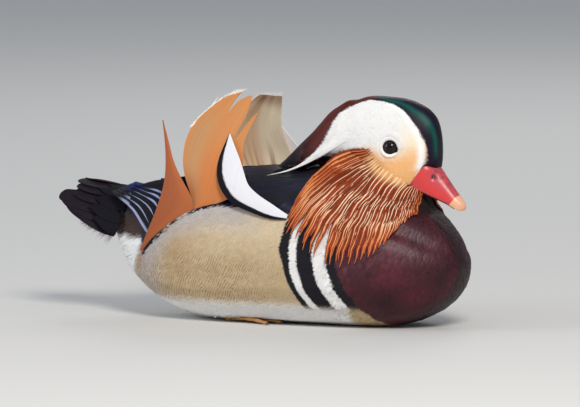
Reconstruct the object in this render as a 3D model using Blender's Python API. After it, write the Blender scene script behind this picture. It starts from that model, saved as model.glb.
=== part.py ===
"""Drake mandarin duck in breeding plumage, life size, resting on its belly with its neck drawn in.

X runs forward, Y to the bird's left and Z up from the floor. The origin is the middle of the flat
under the belly. Sizes are in millimetres, and each mesh is made in metres.
"""

import math

import bmesh
import bpy
import numpy as np

MM = 0.001
GAP = 0.35
SIDES = (("R", -1), ("L", 1))
SHARP_ANGLE = math.radians(40)

# Driving sizes of the body, each row a distance along X and then the size there.
KEEL = ((-140, 69), (-131, 52), (-121, 36), (-106, 20), (-86, 7), (-60, -2), (0, -5), (70, -4),
        (105, 1), (128, 11), (142, 24), (148.5, 36), (150, 45))
BACK = ((-140, 80), (-134, 86), (-118, 92), (-95, 95), (-60, 104), (-25, 113), (0, 114), (40, 110),
        (90, 101), (118, 90), (134, 76), (144, 65), (148.5, 55), (150, 49))
HALF_WIDTH = ((-140, 7), (-132, 17), (-121, 27), (-104, 40), (-75, 54), (-40, 60), (0, 62), (50, 61))
WIDEST_HEIGHT = ((-140, 75), (-130, 58), (-112, 45), (-80, 43), (0, 47), (100, 49), (150, 47))
# The upper edge of the flank: distance along X, half width and height there, and depth of its ledge.
FLANK_EDGE = ((-140, 5, 77, 0.8), (-130, 16, 69, 1), (-112, 32, 59, 1), (-98, 42, 54, 2),
              (-84, 49, 62, 4), (-65, 53, 76, 6), (-39, 52, 88, 6), (-22, 50.5, 91, 6),
              (4, 54, 86, 6), (24, 55.5, 83.5, 3), (45, 53.5, 84, 1), (75, 49, 80, 1),
              (100, 42.5, 75, 1), (120, 33.5, 68, 1), (135, 24, 60, 1), (144, 15, 55.5, 0.8),
              (150, 2.2, 48.4, 0.3))
BREAST_CENTRE = 50
BREAST_LENGTH = 100.5
BODY_PARTING = 62

# The neck, by height: middle along X, half length and half width.
NECK = ((60, 78, 44, 44), (84, 80, 43, 41), (95, 80.5, 38, 34), (106, 81.5, 33, 26), (118, 83, 27, 20),
        (128, 85, 20, 15))
# The head and crest, by distance along X: lowest, highest, half width and height of the widest place.
HEAD = ((-7, 107, 112, 4, 110), (2, 106, 119, 9, 112), (14, 106, 130.5, 12, 117),
        (26, 107, 141.5, 14.5, 123), (40, 106, 156.5, 17.5, 129), (53, 101, 165, 19.8, 131),
        (70, 96, 169.3, 21, 131), (88, 93.5, 169.4, 20.6, 130), (103, 94, 168, 18.6, 129),
        (114, 97, 164, 15.6, 128), (121, 102, 159.5, 12.6, 128), (126, 109, 152.5, 9.4, 129),
        (128.6, 117, 143, 5, 130))
FACE_STATIONS = (118, 121, 124, 126.4, 128.6)
NECK_PARTING = ((30, 107), (124, 84))
HEAD_PARTING = ((45, 116), (118, 97.5))
CREST_PARTING = ((38, 108), (86, 172))

EYE_RADIUS = 5.4
EYE_PLACE = (96, 15.6, 133.6)
LID_RADIUS = 6.6
LID_THICK = 1.5
LID_OUT = 2.6
LID_PROUD = 1.2

# The bill, along a line that dips from the face: distance, top, cutting edge and half width.
BILL_ROOT = (116, 110)
BILL_DIP = 38
BILL_UPPER = ((-8, 14, -9, 9.8), (4, 14.4, -7, 9.3), (12, 11.6, -4.8, 8.4), (20, 8.9, -2.4, 7.4),
              (28, 6.3, 0, 6.3), (34, 4.6, 0.9, 4.9), (37.5, 3.4, 1.2, 3), (38.8, 2.6, 1.6, 1.2))
BILL_LOWER_DEPTH = 2.8
NAIL_START = 141.3
NOSTRIL_PLACE = 10.5


def paint(name, colour, roughness):
    material = bpy.data.materials.new(name)
    material.use_nodes = True
    shader = material.node_tree.nodes["Principled BSDF"]
    shader.inputs["Base Color"].default_value = (*colour, 1)
    shader.inputs["Roughness"].default_value = roughness
    material.diffuse_color = (*colour, 1)
    return material


def through(rows, at):
    """The sizes at a distance, on a smooth curve through the rows."""
    rows = np.array(rows, float)
    place, sizes = rows[:, 0], rows[:, 1:]
    slope = np.gradient(sizes, place, axis=0)
    index = int(np.clip(np.searchsorted(place, at, side="right") - 1, 0, len(place) - 2))
    span = place[index + 1] - place[index]
    t = float(np.clip((at - place[index]) / span, 0, 1))
    rise = t * t * (3 - 2 * t)
    straight_part = sizes[index] * (1 - rise) + sizes[index + 1] * rise
    bend = slope[index] * t * (1 - t) * (1 - t) + slope[index + 1] * t * t * (t - 1)
    value = straight_part + bend * span
    return value if len(value) > 1 else float(value[0])


def mirror(points, side):
    return np.array(points, float) * (1, side, 1)


def solid(name, points, faces):
    """A closed mesh object with its faces turned outwards."""
    points = np.array(points, float)
    faces = np.array(faces, int)
    corners = points[faces]
    if np.einsum("ij,ij->i", corners[:, 0], np.cross(corners[:, 1], corners[:, 2])).sum() < 0:
        faces = faces[:, ::-1]
    mesh = bpy.data.meshes.new(name)
    mesh.from_pydata((points * MM).tolist(), [], faces.tolist())
    mesh.validate()
    thing = bpy.data.objects.new(name, mesh)
    bpy.context.scene.collection.objects.link(thing)
    return thing


def loft(rings):
    """Points and triangles of a closed skin over rings of equally many points."""
    rings = np.array(rings, float)
    count, size = rings.shape[:2]
    points = [*rings.reshape(-1, 3), rings[0].mean(axis=0), rings[-1].mean(axis=0)]
    faces = []
    for row in range(count - 1):
        for column in range(size):
            a = row * size + column
            b = row * size + (column + 1) % size
            faces += [(a, b, b + size), (a, b + size, a + size)]
    last = (count - 1) * size
    for column in range(size):
        after = (column + 1) % size
        faces += [(count * size, after, column), (count * size + 1, last + column, last + after)]
    return np.array(points), np.array(faces)


def sheet(grid, thickness):
    """A thin closed plate over a grid of points, split into triangles alike on both faces."""
    grid = np.array(grid, float)
    rows, columns = grid.shape[:2]
    along = np.gradient(grid, axis=0)
    across = np.gradient(grid, axis=1)
    normal = np.cross(along, across)
    normal /= np.linalg.norm(normal, axis=2, keepdims=True) + 1e-9
    half = np.broadcast_to(np.array(thickness, float) / 2, (rows, columns))[..., None]
    points = np.concatenate([(grid + normal * half).reshape(-1, 3), (grid - normal * half).reshape(-1, 3)])
    under = rows * columns
    faces = []
    for row in range(rows - 1):
        for column in range(columns - 1):
            a = row * columns + column
            b, c, d = a + 1, a + columns + 1, a + columns
            faces += [(a, c, b), (a, d, c)]
            faces += [(a + under, b + under, c + under), (a + under, c + under, d + under)]
    edge = [column for column in range(columns)]
    edge += [row * columns + columns - 1 for row in range(1, rows)]
    edge += [(rows - 1) * columns + column for column in range(columns - 2, -1, -1)]
    edge += [row * columns for row in range(rows - 2, 0, -1)]
    for a, b in zip(edge, edge[1:] + edge[:1]):
        faces += [(a, b, b + under), (a, b + under, a + under)]
    return points, np.array(faces)


def unit(vectors):
    vectors = np.array(vectors, float)
    return vectors / (np.linalg.norm(vectors, axis=-1, keepdims=True) + 1e-12)


def vane(path, across, halves, thick, columns=3, crown=0.0):
    """A feather or lock: a thin plate along a path, with a half width at each of its points."""
    path, across = np.array(path, float), unit(across)
    face = unit(np.cross(np.gradient(path, axis=0), across))
    places = np.linspace(-1, 1, columns)
    grid = [[point + side * half * t + up * crown * half * (1 - t * t) for t in places]
            for point, side, up, half in zip(path, across, face, halves)]
    return sheet(grid, np.repeat(np.array(thick, float)[:, None], columns, axis=1))


def grow(points, faces, distance):
    """The same skin moved outwards, so that each face moves at least that distance."""
    corners = points[faces]
    face_normals = np.cross(corners[:, 1] - corners[:, 0], corners[:, 2] - corners[:, 0])
    if np.einsum("ij,ij->i", corners[:, 0], np.cross(corners[:, 1], corners[:, 2])).sum() < 0:
        face_normals = -face_normals
    size = np.linalg.norm(face_normals, axis=1, keepdims=True)
    normals = np.zeros_like(points)
    for column in range(3):
        np.add.at(normals, faces[:, column], face_normals / np.sqrt(size + 1e-12))
    normals /= np.linalg.norm(normals, axis=1, keepdims=True) + 1e-12
    least = np.ones(len(points))
    solid_faces = size[:, 0] > 1e-6
    for column in range(3):
        index = faces[solid_faces, column]
        facing = (normals[index] * face_normals[solid_faces] / size[solid_faces]).sum(axis=1)
        np.minimum.at(least, index, facing)
    return points + normals * (distance / np.clip(least, 0.4, 1))[:, None]


def fuse(thing, others, operation="UNION", solver="EXACT"):
    """Joins the others to a thing, or cuts them from it, and keeps its largest closed surface."""
    group = bpy.data.collections.new("pieces")
    bpy.context.scene.collection.children.link(group)
    for other in others:
        bpy.context.scene.collection.objects.unlink(other)
        group.objects.link(other)
    modifier = thing.modifiers.new("fuse", "BOOLEAN")
    modifier.operation = operation
    modifier.operand_type = "COLLECTION"
    modifier.collection = group
    modifier.solver = solver
    bpy.context.view_layer.update()
    mesh = bpy.data.meshes.new_from_object(thing.evaluated_get(bpy.context.evaluated_depsgraph_get()))
    thing.modifiers.clear()
    thing.data = mesh
    for other in others:
        bpy.data.objects.remove(other)
    bpy.data.collections.remove(group)
    keep_largest(thing)


def keep_largest(thing):
    """Leaves only the closed surface that holds the most room."""
    form = bmesh.new()
    form.from_mesh(thing.data)
    bmesh.ops.triangulate(form, faces=form.faces)
    form.verts.ensure_lookup_table()
    left = set(form.verts)
    shells = []
    while left:
        front = [left.pop()]
        shell = set(front)
        while front:
            for edge in front.pop().link_edges:
                for vert in edge.verts:
                    if vert in left:
                        left.remove(vert)
                        shell.add(vert)
                        front.append(vert)
        faces = {face for vert in shell for face in vert.link_faces}
        room = sum(face.verts[0].co.dot(face.verts[1].co.cross(face.verts[2].co)) for face in faces)
        shells.append((room, shell))
    best = max(shells, key=lambda item: item[0])[1]
    bmesh.ops.delete(form, geom=[vert for vert in form.verts if vert not in best], context="VERTS")
    bmesh.ops.dissolve_degenerate(form, edges=form.edges, dist=1e-7)
    form.to_mesh(thing.data)
    form.free()


def slice_off(thing, point, normal):
    """Cuts a thing by a plane, drops the side that the normal points to, and closes the cut."""
    form = bmesh.new()
    form.from_mesh(thing.data)
    geometry = [*form.verts, *form.edges, *form.faces]
    origin = [value * MM for value in point]
    cut = bmesh.ops.bisect_plane(form, geom=geometry, plane_co=origin, plane_no=normal, clear_outer=True)
    edges = [item for item in cut["geom_cut"] if isinstance(item, bmesh.types.BMEdge)]
    filled = bmesh.ops.contextual_create(form, geom=edges)
    bmesh.ops.triangulate(form, faces=filled["faces"])
    bmesh.ops.recalc_face_normals(form, faces=form.faces)
    form.to_mesh(thing.data)
    form.free()


def copy(thing, name):
    twin = bpy.data.objects.new(name, thing.data.copy())
    bpy.context.scene.collection.objects.link(twin)
    return twin


def dress(thing, material):
    """Gives a thing its one material and smooth shading between its sharp edges."""
    thing.data.materials.clear()
    thing.data.materials.append(material)
    thing.data.polygons.foreach_set("material_index", [0] * len(thing.data.polygons))
    thing.data.shade_smooth()
    thing.data.set_sharp_from_angle(angle=SHARP_ANGLE)


def parted(whole, line, names):
    """Parts a thing across a line of the side view into the piece above it and the piece below."""
    (x0, z0), (x1, z1) = line
    length = math.hypot(x1 - x0, z1 - z0)
    up = np.array((-(z1 - z0) / length, 0, (x1 - x0) / length))
    start = np.array((x0, 0, z0))
    above, below = (copy(whole, name) for name in names)
    slice_off(above, start + up * GAP / 2, -up)
    slice_off(below, start - up * GAP / 2, up)
    bpy.data.objects.remove(whole)
    return above, below


# The body


def half_width(x):
    if x < BREAST_CENTRE:
        return through(HALF_WIDTH, x)
    reach = min((x - BREAST_CENTRE) / BREAST_LENGTH, 1)
    return max(HALF_WIDTH[-1][1] * math.sqrt(1 - reach * reach), 2.6)


def body_ring(x, lower=5, upper=3, back=5):
    """One section of the body: belly, side, the flank's ledge, then the back."""
    keel, top, widest = through(KEEL, x), through(BACK, x), through(WIDEST_HEIGHT, x)
    edge_y, edge_z, step = through(FLANK_EDGE, x)
    half = half_width(x)
    edge_y = min(edge_y, half - 0.3)
    ring = []
    for i in range(lower):
        turn = math.pi / 2 * i / lower
        ring.append((half * math.sin(turn) ** 0.85, widest - (widest - keel) * math.cos(turn) ** 0.85))
    for i in range(upper + 1):
        turn = math.pi / 2 * i / upper
        ring.append((edge_y + (half - edge_y) * math.cos(turn), widest + (edge_z - widest) * math.sin(turn)))
    inner_y = edge_y - step
    inner_z = edge_z + 0.25 * (top - edge_z) * max(0, 1 - step / 4)
    for i in range(back + 1):
        turn = math.pi / 2 * i / back
        ring.append((inner_y * math.cos(turn), inner_z + (top - inner_z) * math.sin(turn) ** 1.1))
    half_ring = [(y, max(z, 0)) for y, z in ring]
    full = half_ring + [(-y, z) for y, z in half_ring[-2:0:-1]]
    return np.array([(x, y, z) for y, z in full])


def body_skin():
    stations = list(np.linspace(KEEL[0][0], BREAST_CENTRE, 17))
    for turn in np.linspace(0, math.pi / 2, 10)[1:]:
        stations.append(BREAST_CENTRE + (BREAST_LENGTH - 0.5) * math.sin(turn))
    return loft([body_ring(x) for x in stations])


def neck_ring(z, count=18):
    middle, half_x, half_y = through(NECK, z)
    turns = np.linspace(0, 2 * math.pi, count, endpoint=False)
    return np.array([(middle + half_x * math.cos(turn), half_y * math.sin(turn), z) for turn in turns])


def neck_skin():
    return loft([neck_ring(z) for z in np.linspace(60, 128, 7)])


def head_ring(x, count=24):
    low, high, half, widest = through(HEAD, x)
    ring = []
    for turn in np.linspace(0, 2 * math.pi, count, endpoint=False):
        side, rise = math.cos(turn), math.sin(turn)
        y = half * math.copysign(abs(side) ** 0.9, side)
        reach = high - widest if rise > 0 else widest - low
        ring.append((x, y, widest + reach * math.copysign(abs(rise) ** 0.9, rise)))
    return np.array(ring)


def head_skin():
    stations = [*np.linspace(HEAD[0][0], 114, 15), *FACE_STATIONS]
    return loft([head_ring(x) for x in stations])


def head_and_core_skin():
    """The head with only the core of the crest behind it, a little inside the feathers."""
    rings = []
    stations = (*np.linspace(CREST_CORE_END, 64, 5), *np.linspace(72, 114, 6), *FACE_STATIONS)
    for x in stations:
        ring = head_ring(x)
        share = np.interp(x, (CREST_CORE_END, 44, 66), (0.5, CREST_CORE_SHARE, 1))
        middle = np.array((x, 0, ring[:, 2].mean()))
        rings.append(middle + (ring - middle) * share)
    return loft(rings)


CREST_CORE_END = 26
CREST_CORE_SHARE = 0.74
# The tiers of crest feathers: how many, the turns round the head that they cover, where they start and
# end along X, and their share of the crest's full size.
CREST_TIERS = ((6, (-0.3, math.pi + 0.3), 52, -6, 0.86), (7, (-0.15, math.pi + 0.15), 68, 10, 1.0))
CREST_TAPER = (0.44, 0.47, 0.46, 0.4, 0.08)
CREST_THICK = (1.4, 1.2, 1.1, 1, 0.6)
PLUME = ((62, 19.5, 138), (38, 20, 125), (16, 19.5, 115.5), (-4, 21.5, 109.5))
PLUME_HALVES = (1.5, 2.2, 1.8, 0.3)
PLUME_THICK = (1.2, 1, 1, 0.7)
PLUME_COUNT = 2


def crest_place(x, turn, share):
    """A place on the crest, at a turn round its section and a share of the full size."""
    low, high, half, widest = through(HEAD, x)
    reach = high - widest if math.sin(turn) > 0 else widest - low
    return np.array((x, share * half * math.cos(turn), widest + share * reach * math.sin(turn)))


def build_crest(crest):
    """The crest's feathers, laid back from the crown over a core, and the white plumes below them."""
    feathers = []
    for count, (first, last), start, end, share in CREST_TIERS:
        step = (last - first) / count
        for i in range(count):
            turn = first + step * (i + 0.5)
            path, ways = [], []
            for t, x in zip(np.linspace(0, 1, 5), np.linspace(start, end + 3 * (i % 2), 5)):
                size = share * min(1, 0.9 + t / 3)
                path.append(crest_place(x, turn, size))
                ways.append(crest_place(x, turn + step / 2, size) - crest_place(x, turn - step / 2, size))
            halves = np.linalg.norm(ways, axis=1) * CREST_TAPER
            feathers.append(vane(path, ways, halves, CREST_THICK, columns=2))
    for side in (-1, 1):
        for i in range(PLUME_COUNT):
            path = np.array(PLUME, float) + np.array((3, -1.2, 2.6)) * i
            across = [mirror((0.2, 0.1, 1), side)] * len(PLUME)
            feathers.append(vane(mirror(path, side), across, PLUME_HALVES, PLUME_THICK, columns=2))
    fuse(crest, [solid("feather", *feather) for feather in feathers])
    (x0, z0), (x1, z1) = CREST_PARTING
    up = unit((z0 - z1, 0, x1 - x0))
    slice_off(crest, np.array((x0, 0, z0)) + up * GAP / 2, -up)
    keep_largest(crest)
    fuse(crest, cutters(body_skin, neck_skin), "DIFFERENCE")


def cutters(*skins):
    """Copies of the named skins, grown by the gap, that clear whatever lies on them.

    A skin that each side of the bird has comes with its side.
    """
    made = []
    for skin in skins:
        make, *side = skin if isinstance(skin, tuple) else (skin,)
        points, faces = make(*side)
        made.append(solid("cutter", grow(points, faces, GAP), faces))
    return made


def build_flesh():
    """The head, neck, breast and torso, modelled whole and parted by thin cuts."""
    whole = solid("whole", *body_skin())
    fuse(whole, [solid("neck", *neck_skin()), solid("head", *head_and_core_skin())])
    upper, lower = parted(whole, NECK_PARTING, ("upper", "lower"))
    crest, upper = parted(upper, CREST_PARTING, ("crest", "upper"))
    head, neck = parted(upper, HEAD_PARTING, ("head", "neck"))
    breast = copy(lower, "breast")
    slice_off(breast, (BODY_PARTING + GAP / 2, 0, 0), (-1, 0, 0))
    slice_off(lower, (BODY_PARTING - GAP / 2, 0, 0), (1, 0, 0))
    lower.name = "torso"
    return lower, head, crest


# The head


def ball(centre, radius, rows=7, columns=12, stretch=(1, 1, 1)):
    rings = []
    for i in range(1, rows):
        turn = math.pi * i / rows
        ring = [(math.sin(turn) * math.cos(a), -math.cos(turn), math.sin(turn) * math.sin(a))
                for a in np.linspace(0, 2 * math.pi, columns, endpoint=False)]
        rings.append(ring)
    points, faces = loft(rings)
    points[-2:] = (0, -1, 0), (0, 1, 0)
    return points * radius * stretch + centre, faces


def lid(side):
    """The rim of the lids, a ring drawn to a point at the front corner of the eye."""
    rings = []
    x, y, z = EYE_PLACE
    for turn in np.linspace(0, 2 * math.pi, 15, endpoint=False):
        corner = 1 + 0.28 * max(0, math.cos(turn - 0.35)) ** 8
        outward = np.array((math.cos(turn), 0, math.sin(turn)))
        reach = np.array((corner, 1, 1)) * outward * LID_RADIUS
        centre = np.array((x, side * (y + LID_OUT), z)) + reach
        proud = np.array((0, side * LID_PROUD, 0))
        rings.append([centre + LID_THICK * (math.cos(a) * outward + math.sin(a) * proud)
                      for a in np.linspace(0, 2 * math.pi, 5, endpoint=False)])
    points, faces = loft(rings)
    count, size = len(rings), len(rings[0])
    faces = [face for face in faces if max(face) < count * size]
    for column in range(size):
        a, b = (count - 1) * size + column, (count - 1) * size + (column + 1) % size
        c, d = column, (column + 1) % size
        faces += [(a, b, d), (a, d, c)]
    return points[:-2], np.array(faces)


def build_eyes(head):
    """The eyes, each in a socket with raised lids."""
    for label, side in SIDES:
        fuse(head, [solid("lid", *lid(side))])
        place = mirror(EYE_PLACE, side)
        fuse(head, [solid("socket", *ball(place, EYE_RADIUS + GAP))], "DIFFERENCE")
        solid(f"eye_{label}", *ball(place, EYE_RADIUS))


def bill_point(distance, rise, y):
    dip = math.radians(BILL_DIP)
    x0, z0 = BILL_ROOT
    x = x0 + distance * math.cos(dip) + rise * math.sin(dip)
    return (x, y, z0 - distance * math.sin(dip) + rise * math.cos(dip))


def bill_skin():
    """The upper bill: a ridge over two cutting edges."""
    rings = []
    for distance in (*np.linspace(-8, 30, 10), 34, 36.4, 38, 38.8):
        top, edge, half = through(BILL_UPPER, distance)
        ring = [bill_point(distance, edge + (top - edge) * math.sin(turn) ** 0.8, half * math.cos(turn))
                for turn in np.linspace(0, math.pi, 9)]
        ring += [bill_point(distance, edge + 0.12 * (top - edge), -half * 0.4)]
        ring += [bill_point(distance, edge + 0.12 * (top - edge), half * 0.4)]
        rings.append(ring)
    return loft(rings)


def lower_bill_skin():
    rings = []
    for distance in np.linspace(-6, 33, 9):
        _, edge, half = through(BILL_UPPER, distance)
        half *= 0.92
        roof = edge - GAP - 0.05
        depth = BILL_LOWER_DEPTH * (1 - 0.5 * max(0, distance) / 33)
        ring = [bill_point(distance, roof - depth * math.sin(turn), half * math.cos(turn))
                for turn in np.linspace(0, math.pi, 7)]
        rings.append(ring)
    return loft(rings)


def nostril(side):
    """A slit through which the nostril opens, low beside the ridge."""
    top, edge, half = through(BILL_UPPER, NOSTRIL_PLACE)
    centre = np.array(bill_point(NOSTRIL_PLACE, edge + 0.55 * (top - edge), side * half * 0.78))
    points, faces = ball((0, 0, 0), 1, 6, 8, (2.6, 1.7, 0.8))
    dip = math.radians(BILL_DIP)
    turned = points.copy()
    turned[:, 0] = points[:, 0] * math.cos(dip) + points[:, 2] * math.sin(dip)
    turned[:, 2] = points[:, 2] * math.cos(dip) - points[:, 0] * math.sin(dip)
    return turned + centre, faces


def build_bill():
    upper = solid("bill_upper", *bill_skin())
    fuse(upper, cutters(head_skin, neck_skin), "DIFFERENCE")
    nail = copy(upper, "bill_nail")
    slice_off(nail, (NAIL_START + GAP / 2, 0, 0), (-1, 0, 0))
    slice_off(upper, (NAIL_START - GAP / 2, 0, 0), (1, 0, 0))
    fuse(upper, [solid("nostril", *nostril(side)) for _, side in SIDES], "DIFFERENCE")
    lower = solid("bill_lower", *lower_bill_skin())
    fuse(lower, cutters(head_skin, neck_skin), "DIFFERENCE")


# The ruff: long hackles that fan from the cheek over the neck and shoulder

# Each guide is one hackle of the right side, from its root by the cheek to its tip.
RUFF_GUIDES = (
    ((88, 17, 131), (64, 26, 129), (44, 41, 112), (33, 51, 93)),
    ((92, 17, 124), (67, 36, 113), (46, 54, 92), (34, 64, 69)),
    ((98, 17, 115), (82, 39, 97), (70, 55, 74), (66, 64, 49)),
    ((104, 15, 106), (100, 34, 91), (97, 48, 72), (95, 58.5, 54)),
    ((109, 11, 100), (112, 27, 89), (114, 39, 79), (111, 48, 66)),
    ((112, 6, 97), (118, 17, 89), (122, 27, 81), (119, 36, 73)),
)
RUFF_CLEAR = 1.6
RUFF_CORE_END = 0.42
RUFF_CORE_THICK = (4, 3.2, 2)
# The tiers of hackles, the longest lowest: how many, where they start and end, and their lift.
RUFF_TIERS = ((11, 0.3, 1.0, 0.1), (10, 0.22, 0.82, 1.8), (7, 0.08, 0.6, 3.4))
HACKLE_THICK = 0.9
HACKLE_TAPER = (0.44, 0.47, 0.43, 0.06)


def ruff_point(across, along):
    """A place on the ruff, from 0 at its rear edge to 1 under the chin, and from root to tip."""
    guides = np.array(RUFF_GUIDES, float)
    rows = [(i / (len(guides) - 1), *through([(j / 3, *point) for j, point in enumerate(guide)], along))
            for i, guide in enumerate(guides)]
    return through(rows, across)


def clear_of_body(point, clearance):
    """The point moved outwards from the middle of the body, where that is needed to clear its skin."""
    x, y, z = point
    ring = body_ring(min(max(x, KEEL[0][0]), BREAST_CENTRE + BREAST_LENGTH - 1))
    middle = through(WIDEST_HEIGHT, x) + 8
    angle = math.atan2(z - middle, abs(y))
    half = ring[ring[:, 1] >= 0]
    angles = np.arctan2(half[:, 2] - middle, half[:, 1])
    order = np.argsort(angles)
    reach = np.interp(angle, angles[order], np.hypot(half[:, 1], half[:, 2] - middle)[order]) + clearance
    distance = max(math.hypot(y, z - middle), reach)
    return np.array((x, math.copysign(distance * math.cos(angle), y), middle + distance * math.sin(angle)))


def ruff_place(across, along, lift):
    return clear_of_body(ruff_point(across, along), RUFF_CLEAR + lift)


def hackle(across, share, start, end, lift, side):
    """One hackle of the ruff, laid along its flow, as wide as its share of the ruff."""
    path, ways = [], []
    for t, along in zip(np.linspace(0, 1, 4), np.linspace(start, end, 4)):
        path.append(mirror(ruff_place(across, along, lift * (0.4 + 0.6 * t)), side))
        ahead, behind = (ruff_place(across + turn * share / 2, along, lift) for turn in (1, -1))
        ways.append(mirror(ahead - behind, side))
    halves = np.linalg.norm(ways, axis=1) * HACKLE_TAPER
    return vane(path, ways, halves, [HACKLE_THICK * size for size in (1.2, 1.1, 1, 0.6)], columns=2)


def build_ruff():
    draw = np.random.default_rng(4)
    jitter = [[draw.uniform(-1, 1, 2) for _ in range(tier[0])] for tier in RUFF_TIERS]
    for label, side in SIDES:
        stations = np.linspace(0, RUFF_CORE_END, len(RUFF_CORE_THICK))
        grid = [[mirror(ruff_place(across, along, 0.8), side) for across in np.linspace(0.02, 0.98, 7)]
                for along in stations]
        thickness = [[size] * 7 for size in RUFF_CORE_THICK]
        ruff = solid(f"ruff_{label}", *sheet(grid, thickness))
        locks = []
        for tier, shifts in zip(RUFF_TIERS, jitter):
            count, start, end, lift = tier
            for i, (sway, reach) in enumerate(shifts):
                across = 0.02 + 0.96 * (i + 0.5 + 0.04 * sway) / count
                end_here = end * (1 + 0.03 * (reach - 1))
                locks.append(solid("hackle", *hackle(across, 0.96 / count, start, end_here, lift, side)))
        fuse(ruff, locks)
        fuse(ruff, cutters(body_skin, neck_skin, head_skin), "DIFFERENCE")


# The wings, sails and scapulars

# The room of the folded wing on the flank's ledge: distance along X, height of its lower and upper
# edge, and half width of its outer face at each.
WING = ((-136, 90, 94, 20, 15), (-124, 87, 96, 28, 21), (-108, 81, 97.5, 36, 28), (-96, 71, 99, 42, 34),
        (-87, 64, 100, 46, 36), (-75, 70, 103, 49.5, 40), (-50, 84, 107, 50, 43), (-25, 91, 110, 49, 42),
        (2, 87, 105, 50, 45), (14, 85.5, 97, 51, 48.5))
WING_DEPTH = 9
WING_CORE_END = -96
# The outermost primary, from its root under the flank to its tip over the rump.
PRIMARY = ((-78, 43.5, 53), (-92, 40.5, 66), (-107, 34, 81), (-133, 20.5, 91))
PRIMARY_COUNT = 6
PRIMARY_STEP = (6.4, 1.75, 2.4)
PRIMARY_HALVES = (2.8, 3.8, 3.8, 1)
PRIMARY_FACE = (0.62, 0.1, 0.78)
# The long inner feathers on top of the wing, beside the back.
TERTIAL = ((-35, 44.5, 107), (-62, 42, 104.5), (-90, 34.5, 99.5), (-114, 25.5, 97))
TERTIAL_COUNT = 3
TERTIAL_STEP = (7, -5.2, 1.2)
TERTIAL_HALVES = (3.6, 4.4, 4.2, 1.2)
TERTIAL_FACE = (0, 0.75, -0.5)
VANE_THICK = 0.8


def wing_ring(x):
    low, high, low_y, high_y = through(WING, x)
    outer = []
    for t in (0, 0.25, 0.5, 0.75, 1):
        bulge = 1.6 * math.sin(math.pi * t)
        outer.append((x, low_y + (high_y - low_y) * t + bulge, low + 0.4 + (high - low) * t))
    inner = [(x, y - WING_DEPTH, z - 0.5) for x, y, z in outer[::-1]]
    return np.array(outer + inner)


def wing_skin(side, end=WING[0][0]):
    return loft([mirror(wing_ring(x), side) for x in np.linspace(end, WING[-1][0], 14)])


def wing_feathers(side):
    """The primaries, stacked inwards from the outermost, and the long feathers on top of them."""
    made = []
    stacks = ((PRIMARY, PRIMARY_COUNT, PRIMARY_STEP, PRIMARY_HALVES, PRIMARY_FACE),
              (TERTIAL, TERTIAL_COUNT, TERTIAL_STEP, TERTIAL_HALVES, TERTIAL_FACE))
    for rows, count, step, halves, across in stacks:
        for i in range(count):
            path = np.array(rows, float) + np.array(step) * i
            path[-1] -= np.array(step) * i * 0.35
            made.append(vane(mirror(path, side), [mirror(across, side)] * len(path), halves,
                             [VANE_THICK] * len(path), columns=2))
    return made


def build_wings():
    for label, side in SIDES:
        wing = solid(f"wing_{label}", *wing_skin(side, WING_CORE_END))
        fuse(wing, [solid("feather", *feather) for feather in wing_feathers(side)])
        fuse(wing, cutters(body_skin, tail_skin), "DIFFERENCE")


# The sail, a tertial whose inner web is a tall fan that leans in over the back. Each row is a height
# and the sizes there: half width of the fan's face, its rear edge and its front edge.
SAIL_LEAN = ((50, 46.5), (65, 50), (85, 51.5), (100, 49.5), (115, 46), (130, 40), (145, 33), (155, 28),
             (163, 24.5), (169, 22))
SAIL_REAR = ((50, -98), (74, -88), (95, -80), (108, -78.5), (122, -78), (134, -79.5), (146, -84),
             (147.5, -59), (156, -47), (163, -39), (168, -31), (169, -27))
SAIL_FRONT = ((50, -96), (62, -84), (76, -65), (84, -50), (89, -36), (93, -22), (104, -19), (120, -18.5),
              (131, -21), (139, -23), (150, -21), (162, -16.5), (167, -16), (169, -22))
# The cleft between the chestnut spike and the fan, and the two slits that part the fan's tongues.
SAIL_CLEFT = ((-83, 147), (-77, 130), (-69.5, 115), (-61, 102.5), (-52, 91.5), (-58, 101), (-60.5, 111),
              (-62.5, 124), (-62.5, 136), (-59, 146), (-57, 152), (-84, 152))
SAIL_SLITS = (((-29, 172), (-32.8, 152.5), (-25.5, 172)),
              ((-19.5, 160), (-22.8, 137), (-14, 152), (-12, 172), (-15, 172)))
SAIL_HEIGHTS = (53, 61, 72, 84, 97, 108, 120, 132, 145.8, 147.6, 156, 163, 169)
SAIL_BULGE = 1.5
SAIL_THICK = 1.2
SAIL_ROOT_THICK = 2.6
SAIL_ROOT_TOP = 98


def side_cutter(outline, side):
    """A prism across one side of the bird, whose section is an outline in the side view."""
    rings = [[(x, side * y, z) for x, z in outline] for y in (8, 70)]
    form = bmesh.new()
    verts = [[form.verts.new([value * MM for value in point]) for point in ring] for ring in rings]
    for ring in verts:
        form.faces.new(ring)
    for i in range(len(outline)):
        j = (i + 1) % len(outline)
        form.faces.new((verts[0][i], verts[0][j], verts[1][j], verts[1][i]))
    bmesh.ops.recalc_face_normals(form, faces=form.faces)
    mesh = bpy.data.meshes.new("cutter")
    form.to_mesh(mesh)
    form.free()
    thing = bpy.data.objects.new("cutter", mesh)
    bpy.context.scene.collection.objects.link(thing)
    return thing


def straight(rows, at):
    return float(np.interp(at, [row[0] for row in rows], [row[1] for row in rows]))


def sail_grid(side):
    rows, thickness = [], []
    for height in SAIL_HEIGHTS:
        rear, front = straight(SAIL_REAR, height), straight(SAIL_FRONT, height)
        lean = through(SAIL_LEAN, height)
        places = np.linspace(0, 1, 3)
        rows.append([(rear + (front - rear) * t, side * (lean + SAIL_BULGE * math.sin(math.pi * t)), height)
                     for t in places])
        thickness.append([SAIL_ROOT_THICK if height < SAIL_ROOT_TOP else SAIL_THICK] * len(places))
    return rows, thickness


def sail_skin(side):
    return sheet(*sail_grid(side))


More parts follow.
